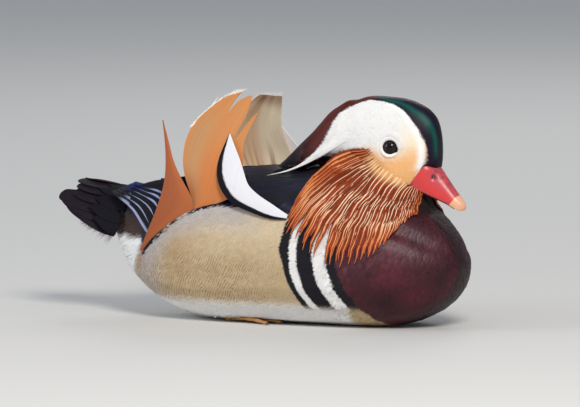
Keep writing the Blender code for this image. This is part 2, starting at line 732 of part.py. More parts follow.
def build_sails():
    for label, side in SIDES:
        sail = solid(f"sail_{label}", *sail_skin(side))
        slits = [side_cutter(outline, side) for outline in (SAIL_CLEFT, *SAIL_SLITS)]
        fuse(sail, [*slits, *cutters(body_skin, (wing_skin, side))], "DIFFERENCE")


# The white scapular with its black border, from the shoulder back and up along the sail.
SCAPULAR = ((28, 56, 87), (10, 56, 90), (-6, 55, 95), (-16, 53, 104), (-21, 48.5, 118), (-25, 39.5, 139))
SCAPULAR_HALF = (5, 6.5, 7.5, 8, 6.5, 0.6)


def build_scapulars():
    for label, side in SIDES:
        path = np.array(SCAPULAR, float)
        along = np.gradient(path, axis=0)
        rows = []
        for point, way, half in zip(path, along, SCAPULAR_HALF):
            across = np.cross(way, (0, 1, 0.25))
            across /= np.linalg.norm(across)
            rows.append([mirror(point + across * half * t, side) for t in (-1, -0.33, 0.33, 1)])
        feather = solid(f"scapular_{label}", *sheet(rows, 2.4))
        fuse(feather, cutters(body_skin, (wing_skin, side), (sail_skin, side)), "DIFFERENCE")


# The tail, a roof of feathers over the rump: centre feathers high, outer ones low.
TAIL_ROOT = ((-128, 0, 90), (-129, 12, 85), (-130, 22, 73), (-131, 27, 61))
TAIL_TIP = ((-171, 0, 94.5), (-176, 12, 92), (-174, 23, 86), (-166, 29, 78))
TAIL_SIDE_COUNT = 6
TAIL_LAYER = 1.15
TAIL_HALVES = (3.4, 4.8, 5.2, 2.8)
TAIL_CORE_THICK = (7, 7, 5)
COVERT_HALVES = (3.5, 4.8, 3.6, 0.8)


def tail_point(across, t):
    root = through([(i / 3, *point) for i, point in enumerate(TAIL_ROOT)], across)
    tip = through([(i / 3, *point) for i, point in enumerate(TAIL_TIP)], across)
    return root + (tip - root) * t


def tail_skin():
    """The root of the tail, a bent slab that the feathers grow from."""
    rows = [[mirror(tail_point(abs(index) / 4, t), -1 if index < 0 else 1) for index in range(-4, 5)]
            for t in (-0.2, 0.02, 0.28)]
    return sheet(rows, [[size] * 9 for size in TAIL_CORE_THICK])


def tail_feather(across, side, lift, start, end, halves):
    path, ways = [], []
    for t in np.linspace(start, end, len(halves)):
        way = tail_point(across + 0.05, t) - tail_point(across - 0.05, t)
        along = tail_point(across, t + 0.1) - tail_point(across, t)
        up = unit(np.cross(way, along))
        up *= math.copysign(1, up[2])
        path.append(mirror(tail_point(across, t) + up * lift, side))
        ways.append(mirror(unit(way) - up * 0.06, side))
    return vane(path, ways, halves, [VANE_THICK] * len(halves), columns=2)


def build_tail():
    """Twelve tail feathers, the middle ones on top, under a tier of short coverts."""
    tail = solid("tail", *tail_skin())
    feathers = []
    for side in (-1, 1):
        for i in range(TAIL_SIDE_COUNT):
            across = (i + 0.55) / TAIL_SIDE_COUNT
            lift = TAIL_LAYER * (2 - i) + 0.5 * (side > 0)
            feathers.append(tail_feather(across, side, lift, -0.05, 1 - 0.02 * (i % 2), TAIL_HALVES))
        for i in range(3):
            across = (i + 0.5) / 3
            feathers.append(tail_feather(across, side, 4.6 - 0.6 * i, 0.02, 0.45, COVERT_HALVES))
    fuse(tail, [solid("feather", *feather) for feather in feathers])
    fuse(tail, cutters(body_skin), "DIFFERENCE")


# The legs, tucked under the belly

FOOT_PLACE = (-8, 31)
FOOT_LENGTH = 46
FOOT_SPREAD = 15
FOOT_HEEL = 4.2
LEG_TOP = (-62, 33, 16)
LEG_RADIUS = 3.2


def foot_outline(side, grown=0.0):
    """The half-shut web between three toes: heel, outer toe, middle toe and inner toe."""
    x, y = FOOT_PLACE
    half = FOOT_LENGTH / 2
    outline = [(x - half, -4), (x - half, 4), (x + 0.5 * half, 12), (x + 0.72 * half, FOOT_SPREAD),
               (x + 0.78 * half, 10), (x + half, 1), (x + 0.72 * half, -9), (x + 0.6 * half, -13), (x, -8)]
    centre = np.array((x, 0))
    points = []
    for point in outline:
        away = np.array(point) - centre
        px, py = np.array(point) + away / np.linalg.norm(away) * grown
        points.append((px, side * (y + py)))
    return points


def foot_skin(side, grown=0.0):
    base = foot_outline(side, grown)
    front = FOOT_PLACE[0] + FOOT_LENGTH / 2
    top = [(x, y, 1.6 + (FOOT_HEEL - 1.6) * (front - x) / FOOT_LENGTH + grown) for x, y in base]
    return loft([[(x, y, -4 if grown else 0) for x, y in base], top])


def leg_skin(side, grown=0.0):
    """The shank, laid back from the heel and up into the belly."""
    x, y = FOOT_PLACE
    start = np.array((x - FOOT_LENGTH / 2 - GAP - 0.2 + (grown and 0.3), y, LEG_RADIUS))
    end = np.array(LEG_TOP, float)
    rings = []
    for t in (0, 0.35, 0.7, 1):
        centre = start + (end - start) * t
        radius = LEG_RADIUS * (1 + 0.4 * t * t) + grown
        lowest = -4 if grown else 0
        ring = []
        for a in np.linspace(0, 2 * math.pi, 10, endpoint=False):
            height = max(centre[2] + radius * math.sin(a), lowest)
            ring.append((centre[0], side * (centre[1] + radius * math.cos(a)), height))
        rings.append(ring)
    return loft(rings)


def build_legs(torso):
    for label, side in SIDES:
        pockets = [solid("pocket", *skin(side, GAP)) for skin in (foot_skin, leg_skin)]
        fuse(torso, pockets, "DIFFERENCE")
        solid(f"foot_{label}", *foot_skin(side))
        solid(f"leg_{label}", *leg_skin(side))


MATERIALS = (
    ("black_gloss", (0.012, 0.012, 0.03), 0.35, ("tail",)),
    ("maroon_breast", (0.13, 0.02, 0.05), 0.5, ("breast",)),
    ("white_face", (0.85, 0.82, 0.76), 0.8, ("head", "scapular_R", "scapular_L")),
    ("copper_crest", (0.12, 0.03, 0.02), 0.5, ("crest",)),
    ("rust_hackle", (0.42, 0.1, 0.03), 0.7, ("neck", "ruff_R", "ruff_L")),
    ("cinnamon_sail", (0.65, 0.24, 0.06), 0.75, ("sail_R", "sail_L")),
    ("buff_flank", (0.5, 0.36, 0.2), 0.8, ("torso",)),
    ("dark_wing", (0.03, 0.03, 0.06), 0.6, ("wing_R", "wing_L")),
    ("red_bill", (0.55, 0.06, 0.05), 0.35, ("bill_upper", "bill_lower")),
    ("pale_nail", (0.75, 0.5, 0.38), 0.35, ("bill_nail",)),
    ("dark_eye", (0.015, 0.01, 0.008), 0.05, ("eye_R", "eye_L")),
    ("orange_leg", (0.55, 0.3, 0.08), 0.6, ("leg_R", "leg_L", "foot_R", "foot_L")),
)


def build():
    for thing in list(bpy.data.objects):
        bpy.data.objects.remove(thing)
    torso, head, crest = build_flesh()
    build_crest(crest)
    build_eyes(head)
    build_bill()
    build_ruff()
    build_wings()
    build_sails()
    build_scapulars()
    build_tail()
    build_legs(torso)
    for name, colour, roughness, nodes in MATERIALS:
        material = paint(name, colour, roughness)
        for node in nodes:
            dress(bpy.data.objects[node], material)


build()
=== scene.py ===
import math

import bmesh
import bpy
import numpy as np
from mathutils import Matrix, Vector
from mathutils.bvhtree import BVHTree


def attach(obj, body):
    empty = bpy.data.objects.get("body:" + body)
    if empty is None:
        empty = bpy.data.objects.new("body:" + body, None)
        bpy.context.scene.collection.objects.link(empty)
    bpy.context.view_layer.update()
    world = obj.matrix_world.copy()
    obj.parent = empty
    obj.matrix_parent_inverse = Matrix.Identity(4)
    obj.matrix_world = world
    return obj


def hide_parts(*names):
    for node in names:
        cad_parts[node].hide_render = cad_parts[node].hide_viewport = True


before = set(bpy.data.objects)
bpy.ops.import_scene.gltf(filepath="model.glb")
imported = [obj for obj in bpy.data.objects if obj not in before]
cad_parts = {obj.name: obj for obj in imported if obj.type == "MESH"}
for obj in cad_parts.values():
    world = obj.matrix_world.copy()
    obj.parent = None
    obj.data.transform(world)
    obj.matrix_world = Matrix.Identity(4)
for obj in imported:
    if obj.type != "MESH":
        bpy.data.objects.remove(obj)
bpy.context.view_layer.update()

# The stand for the camera and the lamps, on a pale floor.
# The bird faces the right and a little towards the camera, which looks slightly down at it through a
# long lens. One point of the floor under the belly lies at a known place in the picture.
MM = 0.001
PICTURE_WIDTH, PICTURE_HEIGHT = 580, 407
PIXEL = 0.74 * MM
BELLY_IN_PICTURE = (285, 319.1)
CAMERA_TURN = math.radians(27)
CAMERA_RISE = math.radians(5.5)
CAMERA_DISTANCE = 10.0
CAMERA_SENSOR = 0.036
FLOOR_HALF = 30.0
FLOOR_LEVEL = -0.1 * MM
FLOOR_COLOUR = (0.66, 0.65, 0.63, 1)
FLOOR_ROUGHNESS = 0.85
SKY_COLOUR = (0.8, 0.86, 0.95, 1)
SKY_STRENGTH = 0.45
LAMP_TARGET = (0, 0, 0.08)
# Each lamp's name, place, width, power and colour.
LAMPS = (
    ("key", (1.3, -1.6, 1.7), 0.9, 50, (1.0, 0.96, 0.9)),
    ("fill", (-1.9, -1.4, 0.9), 1.4, 18, (0.9, 0.95, 1.0)),
    ("rim", (-0.5, 1.8, 1.4), 1.0, 8, (1.0, 0.98, 0.95)),
)


def add(name, data):
    thing = bpy.data.objects.new(name, data)
    bpy.context.scene.collection.objects.link(thing)
    return thing


def aim(thing, place, target):
    thing.location = place
    thing.rotation_mode = "QUATERNION"
    thing.rotation_quaternion = (Vector(target) - Vector(place)).to_track_quat("-Z", "Y")


sight = Vector((-math.sin(CAMERA_TURN) * math.cos(CAMERA_RISE),
                math.cos(CAMERA_TURN) * math.cos(CAMERA_RISE), -math.sin(CAMERA_RISE)))
sight_right = Vector((math.cos(CAMERA_TURN), math.sin(CAMERA_TURN), 0))
sight_up = sight_right.cross(sight)
middle = (sight_right * (PICTURE_WIDTH / 2 - BELLY_IN_PICTURE[0]) * PIXEL
          + sight_up * (BELLY_IN_PICTURE[1] - PICTURE_HEIGHT / 2) * PIXEL)
camera = add("camera", bpy.data.cameras.new("camera"))
aim(camera, middle - sight * CAMERA_DISTANCE, middle)
camera.data.sensor_width = CAMERA_SENSOR / MM
camera.data.lens = CAMERA_SENSOR * CAMERA_DISTANCE / (PICTURE_WIDTH * PIXEL) / MM
camera.data.clip_end = CAMERA_DISTANCE * 5
bpy.context.scene.camera = camera

for label, place, size, power, colour in LAMPS:
    lamp = add(f"lamp_{label}", bpy.data.lights.new(f"lamp_{label}", "AREA"))
    aim(lamp, place, LAMP_TARGET)
    lamp.data.shape = "DISK"
    lamp.data.size = size
    lamp.data.energy = power
    lamp.data.color = colour
world = bpy.data.worlds.new("studio")
world.use_nodes = True
sky = world.node_tree.nodes["Background"]
sky.inputs["Color"].default_value = SKY_COLOUR
sky.inputs["Strength"].default_value = SKY_STRENGTH
bpy.context.scene.world = world
bpy.context.scene.view_settings.view_transform = "Standard"

floor_mesh = bpy.data.meshes.new("floor")
floor_corners = [(x * FLOOR_HALF, y * FLOOR_HALF, FLOOR_LEVEL)
                 for x, y in ((-1, -1), (1, -1), (1, 1), (-1, 1))]
floor_mesh.from_pydata(floor_corners, [], [(0, 1, 2, 3)])
floor = add("floor", floor_mesh)
floor_finish = bpy.data.materials.new("pale_floor")
floor_finish.use_nodes = True
floor_shader = floor_finish.node_tree.nodes["Principled BSDF"]
floor_shader.inputs["Base Color"].default_value = FLOOR_COLOUR
floor_shader.inputs["Roughness"].default_value = FLOOR_ROUGHNESS
floor.data.materials.append(floor_finish)

# The skin under the feathers, one piece over head, neck, breast and body.
# It lies inside the solids by the depth of the coat, and has the markings of the feathers above it.
SIDES = (("R", -1), ("L", 1))
SKIN_NODES = ("torso", "breast", "neck", "head", "crest")
SKIN_VOXEL = 1.7 * MM
SKIN_SMOOTHING, LAST_SMOOTHING = 14, 3
SKIN_LOWEST = 0.3 * MM
COAT_DEPTH = 1.5 * MM
FACE_DEPTH = 0.7 * MM
# Where the thick coat of the neck gives way to the thin one of the face, and how that line slopes.
FACE_START, FACE_FULL, FACE_SLOPE = 60, 80, 0.35
# The eyes' centre and outward way on the left side, and how far the skin sinks round them.
EYE_CENTRE = np.array((95.0, 13.8, 132.8))
EYE_WAY = (0.17, 1.0, 0.1)
EYE_AXIS = np.array(EYE_WAY) / math.hypot(*EYE_WAY)
SOCKET_DEPTH = 3.2 * MM
SOCKET_FLAT, SOCKET_RADIUS = 5.5 * MM, 8.2 * MM
# The middle of the bill's root in the side view, its slope, and where the face ends against it.
BILL_ROOT = (116, 110)
BILL_DIP = math.radians(38)
BILL_FLAT = -2.8
draw = np.random.default_rng(11)


def mesh_arrays(mesh):
    """A mesh's points and triangles."""
    mesh.calc_loop_triangles()
    points = np.empty(len(mesh.vertices) * 3, np.float32)
    mesh.vertices.foreach_get("co", points)
    faces = np.empty(len(mesh.loop_triangles) * 3, np.int32)
    mesh.loop_triangles.foreach_get("vertices", faces)
    return points.reshape(-1, 3).astype(float), faces.reshape(-1, 3)


def unit(vectors):
    return vectors / (np.linalg.norm(vectors, axis=-1, keepdims=True) + 1e-12)


def mirrored(points, side):
    return points * np.array((1, side, 1))


def point_normals(points, faces):
    normals = np.zeros_like(points)
    flat = np.cross(points[faces[:, 1]] - points[faces[:, 0]], points[faces[:, 2]] - points[faces[:, 0]])
    for column in range(3):
        np.add.at(normals, faces[:, column], flat)
    return unit(normals)


def relaxed(points, faces, rounds, strength=0.5, back=0.94):
    """The points drawn towards the mean of their neighbours, and partly back, so that little is lost."""
    edges = np.concatenate([faces[:, [0, 1]], faces[:, [1, 2]], faces[:, [2, 0]]])
    edges = np.unique(np.sort(edges, axis=1), axis=0)
    count = np.bincount(edges.ravel(), minlength=len(points))[:, None]
    for turn in range(rounds * 2):
        total = np.zeros_like(points)
        np.add.at(total, edges[:, 0], points[edges[:, 1]])
        np.add.at(total, edges[:, 1], points[edges[:, 0]])
        points = points + (total / count - points) * (strength if turn % 2 == 0 else -strength * back)
    return points


def ramp(value, start, end):
    """0 before start and 1 after end, smooth between them."""
    t = np.clip((value - start) / (end - start), 0, 1)
    return t * t * (3 - 2 * t)


def hump(value, centre, width):
    """1 at the centre, falling off smoothly to both sides over about the width."""
    return np.exp(-((value - centre) / width) ** 2)


def joined(names, label):
    """A new mesh object that holds copies of some of the frame's nodes."""
    points, faces, start = [], [], 0
    for name in names:
        node_points, node_faces = mesh_arrays(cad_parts[name].data)
        points.append(node_points)
        faces.append(node_faces + start)
        start += len(node_points)
    mesh = bpy.data.meshes.new(label)
    mesh.from_pydata(np.concatenate(points).tolist(), [], np.concatenate(faces).tolist())
    return add(label, mesh)


def off_eye(points, side=1):
    """How far places lie from an eye's axis, and how far out along it."""
    axis = mirrored(EYE_AXIS, side)
    out = points @ axis
    return np.linalg.norm(points - axis * out[:, None], axis=1), out


def by_bill(points):
    """How far places lie ahead of the bill's root and above its middle line, in millimetres."""
    x, z = points[:, 0] - BILL_ROOT[0], points[:, 2] - BILL_ROOT[1]
    return (x * math.cos(BILL_DIP) - z * math.sin(BILL_DIP), x * math.sin(BILL_DIP) + z * math.cos(BILL_DIP))


def dressed(piece, material, slot, *nodes):
    """Gives a piece its material and body, and names the nodes that it replaces. Its slot is not used."""
    piece.data.materials.clear()
    piece.data.materials.append(material)
    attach(piece, "root")
    if nodes:
        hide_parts(*nodes)
    return piece


skin = joined(SKIN_NODES, "skin")
remesh = skin.modifiers.new("remesh", "REMESH")
remesh.mode = "VOXEL"
remesh.voxel_size = SKIN_VOXEL
bpy.context.view_layer.update()
skin_mesh = bpy.data.meshes.new_from_object(skin.evaluated_get(bpy.context.evaluated_depsgraph_get()))
skin.modifiers.clear()
skin.data = skin_mesh
skin_points, skin_faces = mesh_arrays(skin_mesh)
skin_points = relaxed(skin_points, skin_faces, SKIN_SMOOTHING)
faceward = ramp(skin_points[:, 2] / MM - FACE_SLOPE * skin_points[:, 0] / MM, FACE_START, FACE_FULL)
depth = COAT_DEPTH + (FACE_DEPTH - COAT_DEPTH) * faceward[:, None]
skin_points -= point_normals(skin_points, skin_faces) * depth
skin_points = relaxed(skin_points, skin_faces, LAST_SMOOTHING)
for _, side in SIDES:
    off_axis, out = off_eye(skin_points - mirrored(EYE_CENTRE, side) * MM, side)
    sunk = SOCKET_DEPTH * (1 - ramp(off_axis, SOCKET_FLAT, SOCKET_RADIUS)) * (out > 0)
    skin_points -= mirrored(EYE_AXIS, side) * sunk[:, None]
# The face ends in a flat behind the bill. Over and under the bill, and in the middle of the forehead,
# it may stand further forward.
ahead, rise = by_bill(skin_points / MM)
forehead = ramp(-np.abs(skin_points[:, 1] / MM), -8, -2) * ramp(rise, 8, 12)
furthest = BILL_FLAT + 12 * ramp(rise, 11.5, 14.5) + 9 * ramp(-rise, 9.5, 12) + 7 * forehead
too_far = np.maximum(ahead - furthest, 0) * ramp(skin_points[:, 2] / MM, 98, 103)
bill_way = np.array((math.cos(BILL_DIP), 0, -math.sin(BILL_DIP)))
skin_points -= bill_way * too_far[:, None] * MM
skin_points[:, 2] = np.maximum(skin_points[:, 2], SKIN_LOWEST)
skin_mesh.vertices.foreach_set("co", skin_points.ravel())
skin_mesh.shade_smooth()
skin_normals = point_normals(skin_points, skin_faces)
skin_tree = BVHTree.FromPolygons(skin_points.tolist(), skin_faces.tolist())

# The markings, the same on the skin and on the feathers over it.
# Each is a place on the bird at which one colour of plumage gives way to the next, the same on both
# sides. Colours are those of fresh breeding plumage, from buff flank to copper and green crest, with a
# painted sheen and painted shade on the breast and throat.
WHITE = (0.78, 0.77, 0.76)
BLACK = (0.006, 0.005, 0.009)
BUFF = (0.5, 0.375, 0.225)
PALE_BUFF = (0.62, 0.5, 0.34)
FLANK_TAN = (0.4, 0.26, 0.14)
WAVE_BROWN = (0.2, 0.115, 0.055, 1)
LAVENDER_GREY = (0.43, 0.39, 0.37)
VENT_CHESTNUT = (0.34, 0.18, 0.1)
RUMP_BROWN = (0.06, 0.034, 0.028)
NAVY = (0.005, 0.006, 0.02)
MAROON = (0.075, 0.009, 0.016)
MAROON_DARK = (0.022, 0.004, 0.009)
# A painted highlight for the breast's side, and painted shade for its middle and the throat.
MAROON_PAINTED_SHEEN = (0.115, 0.036, 0.05)
KEEL_PAINTED_SHADE = (0.012, 0.004, 0.006)
THROAT_PAINTED_SHADE = (0.012, 0.004, 0.004)
RUST = (0.3, 0.042, 0.01)
COPPER = (0.085, 0.012, 0.008)
TEAL = (0.004, 0.075, 0.062)
CROWN_BLACK = (0.01, 0.005, 0.016)
CHEEK_ORANGE = (0.86, 0.47, 0.2)
LORE_CREAM = (0.92, 0.77, 0.54)
RING_WHITE = (0.84, 0.83, 0.81)
RIM_WHITE = (0.9, 0.89, 0.88)
GAPE_DARK = (0.02, 0.01, 0.008)
# How rough the plumage is on body, back, breast and throat, and on face and crown.
BODY_ROUGH, BACK_ROUGH, BREAST_ROUGH, THROAT_ROUGH = 0.75, 0.42, 0.44, 0.85
FACE_ROUGH, CROWN_ROUGH = 0.8, 0.42
# Borders as runs of places, most of them a height for each place along the bird.
FLANK_TOP = ((-140, 79), (-112, 77), (-101, 72), (-96, 49), (-84, 61), (-69, 73), (-56, 82), (-42, 86.5),
             (-29, 89), (-12, 88.5), (4, 86), (22, 83), (45, 84), (80, 90))
HEAD_FOOT = ((-20, 104), (30, 107.5), (80, 107), (107, 101), (112, 97), (124, 96))
BROW_FOOT = ((20, 116), (25.4, 118.3), (35.7, 123.3), (46.3, 125.1), (56.5, 129), (68, 131.9), (77.3, 132.4),
             (85.1, 130.8), (90, 127))
ORANGE_TOP = ((74, 131), (84, 128), (90, 125), (99.5, 125), (105.5, 126.5), (112.6, 128.5), (119, 131),
              (124, 134))
# These two give the crown's and the green stripe's distance from the middle for each place along it.
CROWN_HALF = ((60, 7), (84, 8.7), (95, 10), (104, 11.4), (111, 12.5), (118, 12.2), (121, 11.7), (123, 11.2),
              (129, 10.6))
TEAL_MIDDLE = ((84, 6), (93, 7.4), (110, 8.6), (121, 8), (126, 6.4), (129, 4.6))
# These three give a place along the bird for each height.
CREST_FRONT = ((119, 24.4), (126.4, 32.7), (135, 40.4), (142.3, 44.2), (149.4, 47.1), (155.8, 51),
               (160.4, 58), (164, 66), (168, 80))
RUFF_TOP = ((97.7, 113.4), (103.5, 107), (107, 103), (111, 96), (115.5, 89.5), (124.8, 82.5), (131.5, 76),
            (136, 71))
BILL_EDGE = ((104.1, 111), (108.7, 115), (113.4, 118.4), (122.4, 121.6))
# The edges of the black and white bars on the side of the breast, from the rear, at their middle height.
# They bow towards the tail, and the hindmost grows wider towards the shoulder.
BAR_EDGES = (28, 33.3, 39.2, 52.5, 63.5, 72.6)
BAR_MIDDLE, BAR_BOW, BAR_FLARE, BAR_SOFTNESS = 54, 0.009, 2.5, 0.35


def at(rows, value):
    """The size that a row of places gives, in straight lines between them."""
    return np.interp(value, [row[0] for row in rows], [row[1] for row in rows])


def blended(colour, other, share):
    share = np.broadcast_to(share, colour.shape[:1])[:, None]
    return colour * (1 - share) + np.array(other) * share


def wavering(points, size, seed):
    """A smooth random value from -1 to 1 over the places, which changes over about the given size."""
    picks = np.random.default_rng(seed)
    value = np.zeros(len(points))
    for _ in range(6):
        way = unit(picks.normal(size=3))
        pace = 2 * math.pi / (size * picks.uniform(0.7, 1.6))
        value += np.sin(points @ way * pace + picks.uniform(0, 6.3))
    return value / 2.6


def body_marks(points):
    """Colour, roughness and share of fine waves for places on the body, breast and neck, in millimetres."""
    x, y, z = points[:, 0], np.abs(points[:, 1]), points[:, 2]
    drift = wavering(points, 9, 3)
    soft = wavering(points, 34, 4)
    colour = np.tile(BUFF, (len(points), 1))
    rough = np.full(len(points), BODY_ROUGH)
    waves = 0.16 + 0.5 * ramp(-z, -66, -40) * ramp(-x, -30, 10)

    def lay(tone, share, gloss=None):
        """Lays a colour without waves over the others, with a roughness of its own if it has one."""
        nonlocal colour, rough, waves
        colour = blended(colour, tone, share)
        waves = waves * (1 - share)
        if gloss is not None:
            rough = rough * (1 - share) + gloss * share

    # The flank: paler above, grey at its top and rear, with a tan cloud, over a white belly.
    above_flank = z - at(FLANK_TOP, x)
    colour = blended(colour, PALE_BUFF, 0.75 * ramp(z, 44, 74) * ramp(x, -80, -10) + 0.12 * soft)
    colour = blended(colour, LAVENDER_GREY, ramp(above_flank, -26, -4) * ramp(-x, -22, 16))
    colour = blended(colour, FLANK_TAN, 0.55 * hump(x, -62, 12) * hump(z, 52, 14))
    colour = blended(colour, LAVENDER_GREY, 0.7 * ramp(-x, 66, 92))
    lay(WHITE, ramp(-z, -21, -12) * ramp(-x, -78, -70))
    # The white vent, with a chestnut edge before it and a brown patch under the wing.
    behind = -x - 0.45 * (56 - z)
    chestnut = hump(behind, 93, 3.5) * ramp(z, 32, 40) * ramp(-z, -58, -52)
    colour = blended(colour, VENT_CHESTNUT, 0.6 * chestnut)
    vent = ramp(behind, 96, 101)
    lay(WHITE, vent)
    colour = blended(colour, RUMP_BROWN, vent * ramp(z + 0.6 * drift, 56, 62))
    lay(NAVY, ramp(above_flank + 0.15 * drift + 1.8 * ramp(-x, 5, 20), -0.6, 0.8), BACK_ROUGH)
    place = x - (BAR_BOW * (z - BAR_MIDDLE) ** 2 + 0.5 * drift)
    flare = BAR_FLARE * ramp(z, 46, 60)
    for number, (start, end) in enumerate(zip(BAR_EDGES[:-1], BAR_EDGES[1:])):
        start = start - flare * (number == 0)
        inside = (ramp(place, start - BAR_SOFTNESS, start + BAR_SOFTNESS)
                  * ramp(-place, -end - BAR_SOFTNESS, -end + BAR_SOFTNESS))
        lay((BLACK, WHITE)[number % 2], inside * ramp(z, 12, 18))
    # The breast: maroon with a painted sheen on its side, and painted shade that makes it almost black in the
    # middle.
    streak = wavering(points * np.array((1, 1, 0.25)), 3.2, 8)
    painted_sheen = hump(z - 0.25 * (x - 100), 56, 13) * ramp(y, 10, 24)
    maroon = blended(np.tile(MAROON, (len(points), 1)), MAROON_DARK, 0.45 + 0.35 * soft)
    maroon = blended(maroon, MAROON_PAINTED_SHEEN, painted_sheen * np.clip(0.5 + 0.25 * streak, 0, 1))
    # Painted shade: the breast's front middle darkened almost to black.
    maroon = blended(maroon, KEEL_PAINTED_SHADE, 0.85 * ramp(-y, -15, -8) * ramp(x, 104, 116))
    lay(maroon, ramp(place, 71.2, 72) * ramp(z + 0.3 * x, 24, 34), BREAST_ROUGH)
    lay(NAVY, ramp(z - 0.25 * (70 - x), 88, 93) * ramp(-x, -78, -70))
    # Painted shade: the front of the neck below the head laid almost black.
    lay(THROAT_PAINTED_SHADE, ramp(z, 80, 90) * ramp(x, 74, 80), THROAT_ROUGH)
    return colour, rough, waves


def head_marks(points):
    """Colour and roughness for places on the head, in millimetres."""
    x, y, z = points[:, 0], np.abs(points[:, 1]), points[:, 2]
    drift = wavering(points, 4, 5)
    below_orange = at(ORANGE_TOP, x) - z
    below_brow = at(BROW_FOOT, x) - z
    # The white face turns to cream and orange before and below the eye, and to rust under the hackles.
    colour = np.tile(WHITE, (len(points), 1))
    colour = blended(colour, LORE_CREAM, 0.85 * ramp(x, 98, 116) * ramp(-z, -158, -138))
    colour = blended(colour, CHEEK_ORANGE, ramp(below_orange, -9, 6) * ramp(x, 72, 82))
    colour = blended(colour, CHEEK_ORANGE, 0.35 * ramp(below_orange, -14, 0) * ramp(x, 98, 116))
    low_face = ramp(below_brow + 0.4 * drift, -0.5, 0.8) * ramp(at(RUFF_TOP, z) - x, -0.8, 0.8)
    colour = blended(colour, RUST, low_face)
    colour = blended(colour, BLACK, ramp(below_brow, -0.4, 0.6) * ramp(-x, -46, -40))
    colour = blended(colour, BLACK, ramp(below_brow, 1.5, 3) * ramp(-x, -64, -56))
    bill_side = np.abs(x - at(BILL_EDGE, z)) + 0.6 * drift
    colour = blended(colour, WHITE, ramp(-bill_side, -3.6, -2.6) * ramp(y, 6, 9) * ramp(-z, -125, -119))
    colour = blended(colour, GAPE_DARK, ramp(-by_bill(points)[1], 7.2, 8.2) * ramp(x, 106, 108.5))
    ring = np.hypot(x - EYE_CENTRE[0] - 1.2, z - EYE_CENTRE[2])
    colour = blended(colour, RING_WHITE, ramp(-ring, -6.6, -5.9) * ramp(y, 8, 10))
    # The crown, whose left edge lies a little further down at the nape and higher over the bill.
    left = ramp(points[:, 1], 0, 4)
    from_crown = y - at(CROWN_HALF, x) - left * (1.6 * ramp(-x, -106, -96) - 2.4 * ramp(x, 110, 117))
    rim = hump(from_crown, 0.9, 1.0) * ramp(x, 84, 96) * ramp(z - 0.2 * x, 92, 96)
    colour = blended(colour, RIM_WHITE, rim)
    on_top = ramp(0.1 * drift - from_crown, -0.3, 0.3) * ramp(z - 0.2 * x, 85, 89)
    on_crest = ramp(at(CREST_FRONT, z) - x + 0.15 * drift, -0.4, 0.4) * ramp(-below_brow, -1, 0.6)
    crown = np.maximum(on_top, on_crest)
    top = blended(np.tile(CROWN_BLACK, (len(points), 1)), COPPER, ramp(-x, -84, -72))
    top = blended(top, BLACK, ramp(-x, -34, -14))
    top = blended(top, TEAL, hump(y, at(TEAL_MIDDLE, x), 1.5) * ramp(x, 76, 90) * ramp(z, 122, 132))
    return blended(colour, top, crown), FACE_ROUGH - (FACE_ROUGH - CROWN_ROUGH) * crown


def in_head(points):
    """Whether places lie on the head rather than on the neck and body, in millimetres."""
    return points[:, 2] > at(HEAD_FOOT, points[:, 0])


def marks(points):
    """Colour, roughness and waves for any places on the skin, in metres."""
    points = points / MM
    colour, rough, waves = body_marks(points)
    head = in_head(points)
    colour[head], rough[head] = head_marks(points[head])
    waves[head] = 0
    return colour, rough, waves


def paint_points(mesh, colour, rough, waves, fleck=0.5):
    """Stores the markings on a mesh: its tint, and its roughness, waves and fleck."""
    tint = np.concatenate([colour, np.ones((len(colour), 1))], axis=1)
    finish = np.stack([np.broadcast_to(value, len(colour)) for value in (rough, waves, fleck, 1)], axis=1)
    for label, values in (("tint", tint), ("finish", finish)):
        layer = mesh.attributes.new(label, "FLOAT_COLOR", "POINT")
        layer.data.foreach_set("color", values.astype(np.float32).ravel())


def lay_maps(mesh, vane, bake):
    """Stores two maps on a mesh, given at its points: over the vane, and the one that is baked on."""
    corners = np.empty(len(mesh.loops), np.int32)
    mesh.loops.foreach_get("vertex_index", corners)
    for label, values in (("vane", vane), ("OFBake", bake)):
        layer = mesh.uv_layers.new(name=label)
        layer.data.foreach_set("uv", values[corners].astype(np.float32).ravel())


def around(points):
    """Places on an unwrap of the bird's own shape: along it, and round a line through its middle."""
    points = points / MM
    along = (points[:, 0] + 180) / 340
    upper = points[:, 2] > 100
    core = np.where(upper, 130, 50)
    turn = np.arctan2(points[:, 1], points[:, 2] - core) / (2 * math.pi) + 0.5
    return np.stack([0.01 + 0.98 * along, 0.01 + 0.47 * turn + upper * 0.5], axis=1)


def wired(tree, kind, inputs, **settings):
    """A new shader node with its settings, and at each input a value or a link from another node."""
    node = tree.nodes.new(f"ShaderNode{kind}")
    for name, value in settings.items():
        setattr(node, name, value)
    for socket, value in inputs.items():
        if isinstance(value, bpy.types.NodeSocket):
            tree.links.new(value, node.inputs[socket])
        else:
            node.inputs[socket].default_value = value
    return node


def worked(tree, kind, first, second, third=0.0):
    """The sum, product or other result of values."""
    return wired(tree, "Math", {0: first, 1: second, 2: third}, operation=kind).outputs[0]


def mask(tree, value, start, end, low=0.0, **settings):
    """A mask that grows from low to 1 while a value goes from start to end."""
    inputs = {"Value": value, "From Min": start, "From Max": end, "To Min": low}
    return wired(tree, "MapRange", inputs, **settings).outputs[0]


def mixed(tree, share, first, second):
    """A colour that turns from the first to the second by a share."""
    return wired(tree, "Mix", {0: share, 6: first, 7: second}, data_type="RGBA").outputs[2]


def stored(tree, label):
    return wired(tree, "Attribute", {}, attribute_name=label).outputs["Color"]


def on_vane(tree):
    """The place on a feather's vane, and how far across and along the vane it lies, from 0 to 1 each."""
    vane = wired(tree, "UVMap", {}, uv_map="vane").outputs[0]
    split = wired(tree, "SeparateXYZ", {0: vane})
    return vane, split.outputs[0], split.outputs[1]


